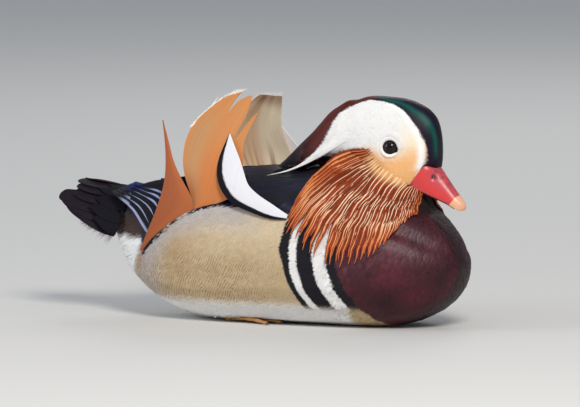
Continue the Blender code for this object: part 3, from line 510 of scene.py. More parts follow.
def new_group(name, colours, sizes, results):
    """A node group with named colours and sizes to put in and results to take out, and its two ends."""
    group = bpy.data.node_groups.new(name, "ShaderNodeTree")
    socket = group.interface.new_socket
    for label in colours:
        socket(label, in_out="INPUT", socket_type="NodeSocketColor")
    for label, value in sizes:
        socket(label, in_out="INPUT", socket_type="NodeSocketFloat").default_value = value
    for label, kind in results:
        socket(label, in_out="OUTPUT", socket_type=f"NodeSocket{kind}")
    return group, group.nodes.new("NodeGroupInput").outputs, group.nodes.new("NodeGroupOutput").inputs


def web_group():
    """Fine barbs that run out from a feather's shaft, as a colour and a height."""
    sizes = (("Barbs", 24.0), ("Slant", 6.0), ("Contrast", 0.12), ("Fleck", 0.5), ("Fleck Share", 0.25))
    results = (("Color", "Color"), ("Height", "Float"))
    group, enter, leave = new_group("feather_web", ("Color",), sizes, results)
    _, across, along = on_vane(group)
    off_shaft = worked(group, "ABSOLUTE", worked(group, "SUBTRACT", across, 0.5), 0.0)
    run = worked(group, "SUBTRACT", worked(group, "MULTIPLY", along, enter["Barbs"]),
                 worked(group, "MULTIPLY", off_shaft, enter["Slant"]))
    row = worked(group, "MULTIPLY", enter["Fleck"], 57.0)
    place = wired(group, "CombineXYZ", {0: run, 1: row})
    noise = wired(group, "TexNoise", {"Vector": place.outputs[0], "Scale": 1.0, "Detail": 1.0},
                  noise_dimensions="2D")
    barb = worked(group, "SUBTRACT", noise.outputs["Fac"], 0.5)
    barb_tone = worked(group, "MULTIPLY", worked(group, "MULTIPLY", barb, enter["Contrast"]), 4.0)
    fleck = worked(group, "SUBTRACT", enter["Fleck"], 0.5)
    fleck_tone = worked(group, "MULTIPLY", fleck, enter["Fleck Share"])
    tone = worked(group, "ADD", worked(group, "ADD", barb_tone, fleck_tone), 1.0)
    scale = wired(group, "VectorMath", {0: enter["Color"]}, operation="SCALE")
    group.links.new(tone, scale.inputs["Scale"])
    group.links.new(scale.outputs[0], leave["Color"])
    group.links.new(barb, leave["Height"])
    return group


def wave_group():
    """Fine wavy cross lines, as on the flank, as a mask."""
    group, enter, leave = new_group("fine_waves", (), (("Spacing", 170.0),), (("Mask", "Float"),))
    place = wired(group, "TexCoord", {}).outputs["Object"]
    bend = wired(group, "TexNoise", {"Vector": place, "Scale": 38.0, "Detail": 3.0}).outputs["Color"]
    warp = wired(group, "VectorMath", {0: bend, 1: (0.014, 0.014, 0.014), 2: place}, operation="MULTIPLY_ADD")
    turn = wired(group, "Mapping", {"Vector": warp.outputs[0], "Rotation": (0, math.radians(-32), 0)})
    wave = wired(group, "TexWave", {"Vector": turn.outputs[0], "Scale": enter["Spacing"], "Distortion": 1.4,
                                    "Detail": 1.0, "Detail Scale": 1.6}, bands_direction="X")
    broken = wired(group, "TexNoise", {"Vector": place, "Scale": 260.0}).outputs["Fac"]
    lines = mask(group, wave.outputs["Fac"], 0.45, 0.9)
    gaps = mask(group, broken, 0.36, 0.56)
    group.links.new(worked(group, "MULTIPLY", lines, gaps), leave["Mask"])
    return group


feather_web = web_group()
fine_waves = wave_group()


def new_finish(name):
    """A new material, its tree and its shader."""
    material = bpy.data.materials.new(name)
    material.use_nodes = True
    return material, material.node_tree, material.node_tree.nodes["Principled BSDF"]


def plumage(name, barbs=24.0, slant=6.0, contrast=0.12, bump=0.25, sheen=0.25, wavy=False, shine=0.25,
            fleck=0.2):
    """A material for feathers whose markings are stored on their mesh."""
    material, tree, shader = new_finish(name)
    finish = wired(tree, "SeparateColor", {0: stored(tree, "finish")})
    colour = stored(tree, "tint")
    if wavy:
        waves = wired(tree, "Group", {}, node_tree=fine_waves)
        share = worked(tree, "MULTIPLY", waves.outputs["Mask"], finish.outputs["Green"])
        colour = mixed(tree, share, colour, WAVE_BROWN)
    web = wired(tree, "Group", {}, node_tree=feather_web)
    for label, value in (("Barbs", barbs), ("Slant", slant), ("Contrast", contrast), ("Fleck Share", fleck)):
        web.inputs[label].default_value = value
    relief = wired(tree, "Bump", {"Height": web.outputs["Height"], "Strength": bump, "Distance": 0.4 * MM})
    for source, target in ((finish.outputs["Blue"], web.inputs["Fleck"]), (colour, web.inputs["Color"]),
                           (web.outputs["Color"], shader.inputs["Base Color"]),
                           (web.outputs["Color"], shader.inputs["Sheen Tint"]),
                           (finish.outputs["Red"], shader.inputs["Roughness"]),
                           (relief.outputs[0], shader.inputs["Normal"])):
        tree.links.new(source, target)
    shader.inputs["Specular IOR Level"].default_value = shine
    shader.inputs["Sheen Weight"].default_value = sheen
    shader.inputs["Sheen Roughness"].default_value = 0.5
    return material


colour, rough, waves = marks(skin_points)
paint_points(skin_mesh, colour, rough, waves)
unwrap = around(skin_points)
lay_maps(skin_mesh, unwrap, unwrap)
coat_finish = plumage("coat", barbs=14, slant=8, contrast=0.08, bump=0.15, sheen=0.15, wavy=True, fleck=0.1)
dressed(skin, coat_finish, "body_feather", "torso", "breast", "neck", "head")

# The coat: short feathers that cover the body, each a thin bent blade rooted in the skin.
# They lie away from the bill over the whole bird, tip over root like tiles, and are smallest on the
# face. Each takes the markings of the skin along its own length, or partly those under its tip.
PATCH = 0.003
BLADE_CORNERS = 4
BLADE_EDGE = math.radians(60)
BILL_BASE = np.array((128, 0, 116)) * MM
BODY_SHAPE = (0.35, 0.9, 1.0, 0.8, 0.25)
FACE_SHAPE = (0.5, 1.0, 0.3)
FACE_BACK, NECK_FRONT, BARS_BACK, VENT_FRONT = 84, 66, 20, -104
LIDS_REACH = 7.4


def on_skin(points):
    """The nearest places on the skin, and the smooth normals there."""
    found = [skin_tree.find_nearest(point) for point in points.tolist()]
    places = np.array([hit[0][:] for hit in found])
    index = np.array([hit[2] for hit in found])
    return places, unit(skin_normals[skin_faces[index]].mean(axis=1))


def scattered(wanted, gap, tries_each=9):
    """Seeded places spread evenly over the part of the skin that is wanted, at least a gap apart."""
    corners = skin_points[skin_faces]
    faces = corners[wanted(corners.mean(axis=1) / MM)]
    area = np.linalg.norm(np.cross(faces[:, 1] - faces[:, 0], faces[:, 2] - faces[:, 0]), axis=1) / 2
    tries = int(area.sum() / (gap * gap) * tries_each)
    pick = draw.choice(len(faces), tries, p=area / area.sum())
    a, b = np.sqrt(draw.random(tries)), draw.random(tries)
    points = (faces[pick, 0] * (1 - a)[:, None] + faces[pick, 1] * (a * (1 - b))[:, None]
              + faces[pick, 2] * (a * b)[:, None])
    cells = np.floor(points / gap).astype(int)
    near_cells = [(i, j, k) for i in (-1, 0, 1) for j in (-1, 0, 1) for k in (-1, 0, 1)]
    taken, chosen = {}, []
    for number, ((x, y, z), point) in enumerate(zip(cells.tolist(), points.tolist())):
        near = (other for i, j, k in near_cells for other in taken.get((x + i, y + j, z + k), ()))
        if all(math.dist(other, point) >= gap for other in near):
            taken.setdefault((x, y, z), []).append(point)
            chosen.append(number)
    return points[chosen]


def blades(name, path, up, halves, thick, colour, rough=0.7, waves=0.0, crown=0.22):
    """One mesh of many thin blades. Each has a path, an upward way and a half width at every row, and
    its section is a shallow roof: left edge, ridge, right edge, and the ridge's underside."""
    count, rows = path.shape[:2]
    along = unit(np.gradient(path, axis=1))
    side = unit(np.cross(along, up))
    up = unit(np.cross(side, along))
    halves = np.broadcast_to(halves, (count, rows))[..., None]
    ridge = path + up * halves * crown
    ring = np.stack([path - side * halves, ridge + up * thick / 2,
                     path + side * halves, ridge - up * thick / 2], axis=2)
    start = (np.arange(count) * rows * BLADE_CORNERS)[:, None, None, None]
    row = (np.arange(rows - 1) * BLADE_CORNERS)[None, :, None, None]
    corner = np.arange(BLADE_CORNERS)[None, None, :, None]
    after = (corner + 1) % BLADE_CORNERS
    quads = np.concatenate([start + row + corner, start + row + after, start + row + BLADE_CORNERS + after,
                            start + row + BLADE_CORNERS + corner], axis=3).reshape(-1, 4)
    first = start.reshape(-1, 1)
    last = first + (rows - 1) * BLADE_CORNERS
    faces = np.concatenate([quads, first + np.array([[3, 2, 1, 0]]), last + np.array([[0, 1, 2, 3]])])
    mesh = bpy.data.meshes.new(name)
    mesh.from_pydata(ring.reshape(-1, 3).tolist(), [], faces.tolist())
    tint = np.broadcast_to(np.asarray(colour, float), (count, rows, 3)).reshape(-1, 3)
    fleck = draw.random((count, 1))
    finish = [np.broadcast_to(value, (count, rows)).ravel() for value in (rough, waves, fleck)]
    paint_points(mesh, *(np.repeat(part, BLADE_CORNERS, axis=0) for part in (tint, *finish)))
    across = np.tile(np.array((0, 0.5, 1, 0.5)), count * rows)
    length = np.repeat(np.tile(np.linspace(0, 1, rows), count), BLADE_CORNERS)
    vane = np.stack([across, length], axis=1)
    lay_maps(mesh, vane, np.repeat(around(path[:, 0]), rows * BLADE_CORNERS, axis=0) + (vane - 0.5) * PATCH)
    mesh.shade_smooth()
    mesh.set_sharp_from_angle(angle=BLADE_EDGE)
    return add(name, mesh)


def laid(roots, flow, length, rows, rise, lift=0.15 * MM):
    """Paths that start at the roots and run along the skin the way of the flow, rising towards the tip."""
    places, normals = on_skin(roots)
    path, ups = [places + normals * lift], [normals]
    way = flow
    step = (length / (rows - 1))[:, None]
    for index in range(1, rows):
        way = unit(way - normals * (way * normals).sum(axis=1, keepdims=True))
        places, normals = on_skin(places + way * step)
        t = index / (rows - 1)
        path.append(places + normals * (lift + rise[:, None] * t ** 1.3))
        ups.append(normals)
    return np.stack(path, axis=1), np.stack(ups, axis=1)


def coat(name, wanted, gap, length, width, rise, shape=BODY_SHAPE, slot="body_feather", finish=coat_finish,
         spread=0.22, thick=0.14, mark_at=0.7, blur=0.05, crown=0.1, own=1.0):
    """Covers the wanted part of the skin with feathers of one kind, whose sizes are in millimetres."""
    roots = scattered(wanted, gap * MM)
    count, rows = len(roots), len(shape)
    flow = unit(roots - BILL_BASE)
    flow = unit(flow + draw.normal(size=flow.shape) * spread * 0.5)
    size = draw.uniform(0.85, 1.15, count)
    path, ups = laid(roots, flow, length * MM * size, rows, rise * MM * draw.uniform(0.7, 1.3, count))
    seen = path[:, :1] + (path[:, -1:] - path[:, :1]) * mark_at
    shift = draw.normal(size=(count, 1, 3)) * MM * blur
    marked = marks((path * own + seen * (1 - own) + shift).reshape(-1, 3))
    colour, rough, waves = (part.reshape(count, rows, *part.shape[1:]) for part in marked)
    halves = width * MM / 2 * size[:, None] * np.array(shape)
    thing = blades(name, path, ups, halves, thick * MM, colour, rough, waves, crown)
    return dressed(thing, finish, slot)


def on_body(p, rear, front):
    """Whether places lie on the body or neck between a rear and a front one, in millimetres."""
    return ~in_head(p) & (p[:, 0] > rear) & (p[:, 0] < front)


def on_flank(p):
    return p[:, 2] < at(FLANK_TOP, p[:, 0]) + 2


def on_face(p):
    """Whether places lie on the face, clear of the lids and of the flat that the bill stands against."""
    ahead, rise = by_bill(p)
    at_bill = (ahead > -4.5) & (rise > -8.5) & (rise < 11.5) & (np.abs(p[:, 1]) < 12.5)
    on_left = np.stack([p[:, 0], np.abs(p[:, 1]), p[:, 2]], axis=1)
    return in_head(p) & (p[:, 0] > FACE_BACK) & (off_eye(on_left - EYE_CENTRE)[0] >= LIDS_REACH) & ~at_bill


for label, side in SIDES:
    coat(f"coat_flank_{label}",
         lambda p: on_body(p, VENT_FRONT, BARS_BACK) & on_flank(p) & (p[:, 1] * side >= 0),
         gap=2.2, length=8.5, width=4.4, rise=0.32, crown=0.07)
    coat(f"coat_bars_{label}",
         lambda p: on_body(p, BARS_BACK, NECK_FRONT) & on_flank(p) & (p[:, 1] * side >= 0),
         gap=1.35, length=4.4, width=2.3, rise=0.28, blur=0.03, crown=0.08)
breast_finish = plumage("breast_coat", barbs=14, slant=8, bump=0.15, sheen=0.0, shine=0.3, fleck=0.35)
coat("coat_breast", lambda p: on_body(p, NECK_FRONT, math.inf), gap=1.9, length=6.5, width=3.4, rise=0.45,
     slot="breast_feather", finish=breast_finish, blur=0.1, own=0.85)
coat("coat_back", lambda p: on_body(p, -math.inf, NECK_FRONT) & ~on_flank(p), gap=3.0, length=12, width=6,
     rise=0.5, slot="dark_feather")
coat("coat_vent", lambda p: on_body(p, -math.inf, VENT_FRONT) & on_flank(p), gap=2.4, length=11, width=2.6,
     rise=0.8, spread=0.3, blur=0.12, own=0.85)
FACE_LOOK = {"shape": FACE_SHAPE, "slot": "face_feather", "spread": 0.12, "thick": 0.08,
             "finish": plumage("face_coat", barbs=8, slant=5, contrast=0.04, bump=0.08, sheen=0.1, shine=0.15,
                               fleck=0.05)}
coat("coat_face", on_face, gap=0.9, length=2.9, width=1.3, rise=0.12, blur=0.03, crown=0.05, **FACE_LOOK)
coat("coat_nape", lambda p: in_head(p) & (p[:, 0] <= FACE_BACK), gap=1.05, length=3.3, width=1.5, rise=0.14,
     blur=0.04, crown=0.06, own=0.95, **FACE_LOOK)

# The ruff: long pointed hackles that fan from the cheek over the neck and shoulder.
# They are set in tiers, the longest lowest, each a narrow rust-red blade with a pale shaft, cream by
# the face and orange towards the tip.
RUFF_GUIDES = np.array((
    ((78, 18.5, 131.5), (60, 26, 128), (44, 41, 112), (33, 51, 93)),
    ((83, 18.5, 124.5), (64, 36, 112), (46, 54, 92), (34, 64, 69)),
    ((89, 18.5, 115), (79, 39, 96), (70, 55, 74), (66, 64, 49)),
    ((103, 15.5, 106), (99, 34, 90), (97, 48, 72), (95, 58.5, 54)),
    ((109, 11.5, 101), (111, 26, 89), (113, 37, 78), (111, 46, 67)),
    ((113, 5, 99), (118, 15, 90), (122, 24, 83), (120, 33, 76)),
), float) * MM
# Each tier's number of hackles on a side, where they start and end, and how high they lie.
RUFF_TIERS = ((30, 0.34, 1.0, 0.2), (27, 0.26, 0.94, 0.8), (25, 0.19, 0.86, 1.4), (24, 0.12, 0.75, 2.0),
              (24, 0.06, 0.6, 2.6), (25, 0.0, 0.42, 3.2), (25, -0.05, 0.26, 3.7))
HACKLE_SHAPE = np.array((0.5, 0.85, 1.0, 1.0, 0.96, 0.88, 0.7, 0.42, 0.06))
HACKLE_LEAST, HACKLE_MOST, HACKLE_THICK = 0.4 * MM, 2.1 * MM, 0.2 * MM
HACKLE_CLEAR, HACKLE_SLACK = 0.9 * MM, 0.6 * MM
HACKLE_OVERLAP = 0.62
SHAFT_CREAM = (0.85, 0.66, 0.44, 1)
SHAFT_ORANGE = (0.72, 0.27, 0.085, 1)
# How far off its height a feather may lie where nothing holds it to the skin.
FREE = 60 * MM


def spline(values, at_places):
    """Places on a smooth curve through evenly spaced values, from 0 at the first to 1 at the last."""
    values = np.asarray(values, float)
    slopes = np.gradient(values, axis=0)
    place = np.clip(np.asarray(at_places, float), -0.2, 1.2) * (len(values) - 1)
    index = np.clip(np.floor(place).astype(int), 0, len(values) - 2)
    t = (place - index).reshape(-1, *([1] * (values.ndim - 1)))
    rise = t * t * (3 - 2 * t)
    return (values[index] * (1 - rise) + values[index + 1] * rise
            + slopes[index] * t * (1 - t) ** 2 + slopes[index + 1] * t * t * (t - 1))


def spread_over(guides, across, along):
    """Places on the sheet that guides span, from the first guide to the last and from root to tip."""
    by_guide = spline(np.eye(len(guides)), across.ravel())
    by_length = spline(np.eye(guides.shape[1]), along.ravel())
    return np.einsum("mk,ml,kld->md", by_guide, by_length, guides).reshape(*across.shape, 3)


def set_out(count, stray):
    """Even places in a row from 0 to 1, each a little astray."""
    return (np.arange(count) + 0.5 + draw.uniform(-stray, stray, count)) / count


def clear_of_skin(points, height, most=1.0):
    """The points, raised where they lie nearer to the skin than the height, and lowered to the most."""
    flat = points.reshape(-1, 3)
    height, most = (np.broadcast_to(size, points.shape[:-1]).ravel() for size in (height, most))
    places, normals = on_skin(flat)
    low = ((flat - places) * normals).sum(axis=1) < height
    flat = np.where(low[:, None], places + normals * height[:, None], flat)
    reach = np.linalg.norm(flat - places, axis=1)
    flat = places + (flat - places) * np.minimum(1, most / np.maximum(reach, 1e-9))[:, None]
    return flat.reshape(points.shape), normals.reshape(points.shape)


def base_of(material):
    """A material's tree, the socket of its base colour, and the colour that comes in there."""
    base = material.node_tree.nodes["Principled BSDF"].inputs["Base Color"]
    return material.node_tree, base, base.links[0].from_socket


def hackle_finish():
    """Rust vanes with a pale shaft line, which turns from cream to orange down the ruff."""
    material = plumage("hackle", barbs=90, slant=60, contrast=0.03, bump=0.02, sheen=0.0, shine=0.15)
    tree, base, vane_colour = base_of(material)
    off_shaft = worked(tree, "ABSOLUTE", worked(tree, "SUBTRACT", on_vane(tree)[1], 0.5), 0.0)
    shaft = mask(tree, off_shaft, 0.13, 0.05, interpolation_type="SMOOTHSTEP")
    down = wired(tree, "SeparateColor", {0: stored(tree, "finish")}).outputs["Green"]
    tree.links.new(mixed(tree, shaft, vane_colour, mixed(tree, down, SHAFT_CREAM, SHAFT_ORANGE)), base)
    return material


hackle_material = hackle_finish()
for label, side in SIDES:
    tiers = []
    t = np.linspace(0, 1, len(HACKLE_SHAPE))
    for count, start, end, lift in RUFF_TIERS:
        across = set_out(count, 0.22)
        last = end * draw.uniform(0.93, 1.03, count) * (1 - 0.45 * ramp(across, 0.66, 0.92))
        along = start + (last[:, None] - start) * t
        sway = draw.normal(size=count)[:, None] * 0.006 * t ** 2
        share = across[:, None] + sway + 0.0035 * np.sin(along * 26 + 3 * across[:, None])
        beside = spread_over(RUFF_GUIDES, share + 0.01, along) - spread_over(RUFF_GUIDES, share - 0.01, along)
        gap = np.linalg.norm(beside, axis=-1) / 0.02 / count * (1 - 0.3 * ramp(-across, -0.5, -0.2))[:, None]
        half = np.clip(HACKLE_OVERLAP * gap, HACKLE_LEAST, HACKLE_MOST) * HACKLE_SHAPE
        half = half * draw.uniform(0.9, 1.1, (count, 1))
        height = np.broadcast_to(HACKLE_CLEAR + lift * MM * (0.45 + 0.55 * t), along.shape)
        tiers.append((mirrored(spread_over(RUFF_GUIDES, share, along), side), height, along, share, half))
    path, height, along, share, half = (np.concatenate(part) for part in zip(*tiers))
    path, ups = clear_of_skin(path, height, height + HACKLE_SLACK + FREE * (1 - ramp(share, 0.66, 0.84)))
    ups = unit(ups + 0.07 * draw.normal(size=(len(path), 1, 3)))
    tint = np.array(RUST) * draw.uniform(0.7, 1.1, (len(path), 1, 1)) * (0.75 + 0.35 * along[..., None])
    at_cheek = (1 - ramp(along, 0.0, 0.1)) * ramp(share, 0.05, 0.2) * ramp(-share, -0.72, -0.6)
    tint = blended(tint.reshape(-1, 3), np.array(CHEEK_ORANGE) * 0.8, at_cheek.ravel()).reshape(tint.shape)
    at_rims = np.maximum(ramp(-share, -0.3, -0.08), ramp(share, 0.84, 0.95))
    orange = np.maximum(ramp(along, 0.36, 0.85), at_rims)
    ruff = blades(f"ruff_hackles_{label}", path, ups, half, HACKLE_THICK, tint, 0.6, orange, crown=0.3)
    dressed(ruff, hackle_material, "hackle_feather", f"ruff_{label}")

# The crest: long glossy feathers that lie back from the crown and end in a point over the mantle.
# Copper in the middle and black at the end, over the white brow, whose own plumes run back under them
# to a thin line on the nape.
# The head's sections: place along it, lowest, highest, half width, and the height of the widest place.
HEAD_FORM = np.array(((-7, 107, 112, 4, 110), (2, 106, 119, 9, 112), (14, 106, 130.5, 12, 117),
                      (26, 107, 141.5, 14.5, 123), (40, 106, 156.5, 17.5, 129), (53, 101, 165, 19.8, 131),
                      (70, 96, 169.3, 21, 131), (88, 93.5, 169.4, 20.6, 130),
                      (103, 94, 168, 18.6, 129)), float)
# How far forward the crest's roots start for each rise of the section from side to crown.
CREST_ROOT = ((-0.4, 22), (0, 34), (0.5, 46), (0.8, 56), (0.95, 68), (1, 80))
# Each tier's number of feathers, how far its roots are shifted, its length, and its share of the form.
CREST_TIERS = ((26, 0, 34, 0.955), (24, -8, 40, 0.965), (22, -17, 42, 0.975), (20, -26, 40, 0.985),
               (16, -34, 34, 0.995))
CREST_SHAPE = np.array((0.4, 0.85, 1.0, 1.0, 0.92, 0.75, 0.5, 0.12))
CREST_HALF, CREST_THICK = 2.5 * MM, 0.3 * MM
CREST_END, CREST_OVERHANG = -7, 0.35
PLUME = np.array(((64, 19.6, 138.5), (38, 20.8, 124), (16, 22.6, 113.6), (-4, 26.5, 108.4)), float) * MM
PLUME_FAN = np.array((-4, -3.2, 13)) * MM
PLUME_COUNT, PLUME_HALF = 34, 1.05 * MM


def head_place(x, turn, share):
    """A place on the head's and crest's form, at a turn round its section, in metres."""
    low, high, half, widest = (np.interp(x, HEAD_FORM[:, 0], HEAD_FORM[:, column]) for column in (1, 2, 3, 4))
    rise = np.sin(turn)
    reach = np.where(rise > 0, high - widest, widest - low)
    return np.stack([x, share * half * np.cos(turn), widest + share * reach * rise], axis=-1) * MM


t = np.linspace(0, 1, len(CREST_SHAPE))
tiers = []
for count, back, length, share in CREST_TIERS:
    turn = -CREST_OVERHANG + (math.pi + 2 * CREST_OVERHANG) * set_out(count, 0.3)
    start = at(CREST_ROOT, np.sin(turn)) + back
    end = np.maximum(start - length * draw.uniform(0.9, 1.1, count), CREST_END + draw.uniform(0, 6, count))
    x = start[:, None] + (end - start)[:, None] * t
    turn = np.broadcast_to(turn[:, None], x.shape)
    place = head_place(x, turn, share - 0.06 * (1 - t) ** 2)
    copper = np.tile(COPPER, (x.size, 1)) * 1.25
    tone = blended(copper, BLACK, ramp(-x.ravel(), -30, -12)).reshape(place.shape)
    tone = tone * draw.uniform(0.6, 1.3, (count, 1, 1))
    tiers.append((place, unit(place - head_place(x, turn, 0.3)), tone))
path, ups, tint = (np.concatenate(part) for part in zip(*tiers))
halves = CREST_HALF * CREST_SHAPE * draw.uniform(0.8, 1.15, (len(path), 1))
halves = halves * np.interp(path[..., 0] / MM, (-7, 20, 60), (0.4, 0.85, 1))
crest = blades("crest_feathers", path, ups, halves, CREST_THICK, tint, CROWN_ROUGH, crown=0.25)
crest_material = plumage("crest_gloss", barbs=40, slant=20, contrast=0.2, bump=0.3, sheen=0, shine=0.4)
dressed(crest, crest_material, "crest_feather", "crest")

brow_material = plumage("brow_plume", barbs=30, slant=16, contrast=0.06, bump=0.2)
for label, side in SIDES:
    spread = np.sort(draw.uniform(0, 1, PLUME_COUNT))[:, None, None]
    first = draw.uniform(0, 0.35, PLUME_COUNT)
    last = draw.uniform(0.62, 1.0, PLUME_COUNT)
    last[:4] = 1.0
    along = first[:, None] + (last - first)[:, None] * t
    line = spline(PLUME, along.ravel()).reshape(*along.shape, 3)
    line = mirrored(line + PLUME_FAN * spread * (1 - np.clip(along, 0, 1))[..., None] ** 4, side)
    out = ramp(along, 0.16, 0.42)
    path, ups = clear_of_skin(line, (0.9 * out - 0.5) * MM, 0.1 * MM + FREE * out)
    path = np.where(line[..., :1] > 26 * MM, path, line)
    halves = PLUME_HALF * CREST_SHAPE * (1.2 - 0.8 * along)
    ups = unit(0.5 * ups + np.array((0.12, side, 0.25)))
    plume = blades(f"brow_plumes_{label}", path, ups, halves, CREST_THICK, WHITE)
    dressed(plume, brow_material, "white_feather")

# The cape: black feathers with a blue gloss, which run back from the nape over the mantle.
# They fill the hollow between the crest, the shoulders and the wings, and lie over one another in rows.
CAPE_GUIDES = np.array((
    ((52, 1, 126), (24, 1, 113), (-4, 1, 106), (-36, 1, 104)),
    ((60, 12, 124), (30, 13, 112), (-2, 14, 105.3), (-36, 16, 104)),
    ((60, 18, 119), (32, 20.2, 110), (4, 22.2, 104.4), (-34, 30, 103.6)),
    ((54, 30, 108), (32, 35, 103), (8, 38, 100), (-24, 42, 101)),
    ((48, 40, 98), (30, 45, 93), (12, 48, 90.5), (-10, 49, 93)),
), float) * MM
CAPE_TIERS = ((30, 0.55, 1.0, 0.0), (30, 0.36, 0.86, 0.35), (28, 0.18, 0.68, 0.7), (26, -0.02, 0.5, 1.0))
CAPE_SHAPE = np.array((0.5, 0.9, 1.0, 1.0, 0.9, 0.62, 0.15))
CAPE_HALF, CAPE_THICK, CAPE_CLEAR = 2.4 * MM, 0.3 * MM, 0.5 * MM
CAPE_BLUE = (0.0, 0.002, 0.02)
cape_material = plumage("cape", barbs=50, slant=20, contrast=0.3, bump=0.25, sheen=0, shine=0.3, fleck=0.5)
for label, side in SIDES:
    tiers = []
    for count, start, end, lift in CAPE_TIERS:
        across = set_out(count, 0.3)[:, None]
        end = end * draw.uniform(0.95, 1.03, count)[:, None]
        along = start + (end - start) * np.linspace(0, 1, len(CAPE_SHAPE))
        across = np.broadcast_to(across, along.shape)
        up = unit(np.stack([np.zeros_like(across), 0.15 + 0.6 * across, 1.0 - 0.3 * across], axis=-1))
        place = spread_over(CAPE_GUIDES, across, along) + up * lift * MM
        half = CAPE_HALF * CAPE_SHAPE * draw.uniform(0.85, 1.15, (count, 1))
        tiers.append((mirrored(place, side), mirrored(up, side), half))
    path, ups, half = (np.concatenate(part) for part in zip(*tiers))
    path, _ = clear_of_skin(path, CAPE_CLEAR)
    tint = np.array(BLACK) + draw.uniform(0, 1, (len(path), 1, 1)) ** 2 * np.array(CAPE_BLUE)
    cape = blades(f"cape_{label}", path, ups, half, CAPE_THICK, tint, 0.45, crown=0.15)
    dressed(cape, cape_material, "dark_feather")

# The sails: the innermost flight feather of each wing, whose web stands up as a tall orange fan.
# A chestnut spike stands apart behind the fan, and slits part the fan's top into three tongues. The
# outer face is cinnamon orange and the inner face cream.
SAIL_LEAN = np.array(((50, 46.5), (65, 50), (85, 51.5), (100, 49.5), (115, 46), (130, 40), (145, 33),
                      (155, 28), (163, 24.5), (169, 22), (172, 20.6)))
SAIL_THICK = 0.5 * MM
SAIL_TOP = 171.8
# The edges of the spike and of the fan's three tongues, each a run of places along X and Z from the
# root upwards. The fan's barbs follow them.
SPIKE_REAR = ((-96.5, 51), (-88.5, 66), (-81.5, 80), (-76.5, 95), (-75, 109), (-76.8, 122), (-81, 136),
              (-85.2, 147))
SPIKE_FRONT = ((-95, 51), (-84, 62), (-66, 74.5), (-50, 84), (-52, 93), (-61.5, 106.5), (-69.4, 118.5),
               (-77, 133), (-84.9, 147))
FAN_REAR = ((-50, 83.5), (-50.5, 89), (-53, 96.5), (-57.8, 106.6), (-61, 116), (-62.5, 126), (-62, 136),
            (-58, 147), (-50, 156), (-40, 164), (-30, 168.6), (-25, 169.6))
FIRST_TONGUE = ((-47.5, 84.3), (-45.5, 93), (-45, 110), (-42, 130), (-38, 143), (-33, 152), (-30.4, 159),
                (-27.3, 165.5), (-24.6, 169.4))
FIRST_SLIT = ((-29, 158.5), (-24.5, 163.6), (-17.2, 167.2))
SECOND_TONGUE = ((-44, 85.4), (-37, 92), (-32, 106), (-28, 122), (-22.6, 134.7), (-20.4, 143),
                 (-17.6, 151), (-15.8, 158), (-15.6, 166.8))
SECOND_SLIT = ((-18.8, 140), (-15.6, 145.6), (-11.8, 151.4), (-7.8, 156.2))
FAN_FRONT = ((-40, 86.5), (-29, 89.5), (-20, 94), (-14, 104), (-11.5, 116), (-13, 125), (-14.4, 132),
             (-13.2, 139.5), (-10.4, 147), (-7.4, 156))
SLIT_STARTS = ((-33, 152), (-22.6, 134.7))
TONGUE_COLUMNS = (24, 14, 9)
FAN_ROWS, SPIKE_ROWS, SPIKE_COLUMNS = 84, 60, 14
# The left fan is drawn together, so that its edge is whole, and stands a little lower.
WHOLE_FRONT = ((-40, 86.5), (-30, 89.5), (-22.5, 93.5), (-19, 104), (-18.3, 119), (-20.5, 131),
               (-21.5, 140), (-20, 150), (-17, 161), (-15, 168.6))
WHOLE_REAR = (*FAN_REAR[:-3], (-43, 162), (-38, 166), (-33, 169.2))
WHOLE_TOP = (*WHOLE_REAR, (-24, 169.3), (-16, 168.6))
WHOLE_DROP, WHOLE_DROP_FROM = 0.075, 95
SAIL_ORANGE = (0.56, 0.228, 0.076)
SAIL_TAN = (0.48, 0.25, 0.108)
SAIL_EDGE = (0.56, 0.17, 0.045)
SPIKE_CHESTNUT = (0.33, 0.088, 0.03)
SAIL_CREAM = (0.95, 0.78, 0.56)
# Brown of the inner face's top, also laid in streaks low down as painted shade in its folds.
SAIL_BROWN_AND_FOLD_SHADE = (0.22, 0.1, 0.05)
# The fringe of white wisps on the sails' tops: which part of the edge bears it, and how many a side.
EDGE_STEPS, FRINGE_FROM = 200, 112
FRINGE_WISPS = {"R": 50, "L": 80}
WISP_WHITE = (0.85, 0.82, 0.78)


def even(points, count):
    """The smooth run of places through some points, evenly spaced."""
    points = np.array(points, float)
    fine = spline(points, np.linspace(0, 1, 400))
    length = np.concatenate([[0], np.cumsum(np.linalg.norm(np.diff(fine, axis=0), axis=1))])
    wanted = np.linspace(0, length[-1], count)
    return np.stack([np.interp(wanted, length, fine[:, axis]) for axis in range(fine.shape[1])], axis=1)


def shares(rows, columns):
    """How far across and along each place of a grid lies, from 0 to 1."""
    return np.meshgrid(np.linspace(0, 1, columns), np.linspace(0, 1, rows))


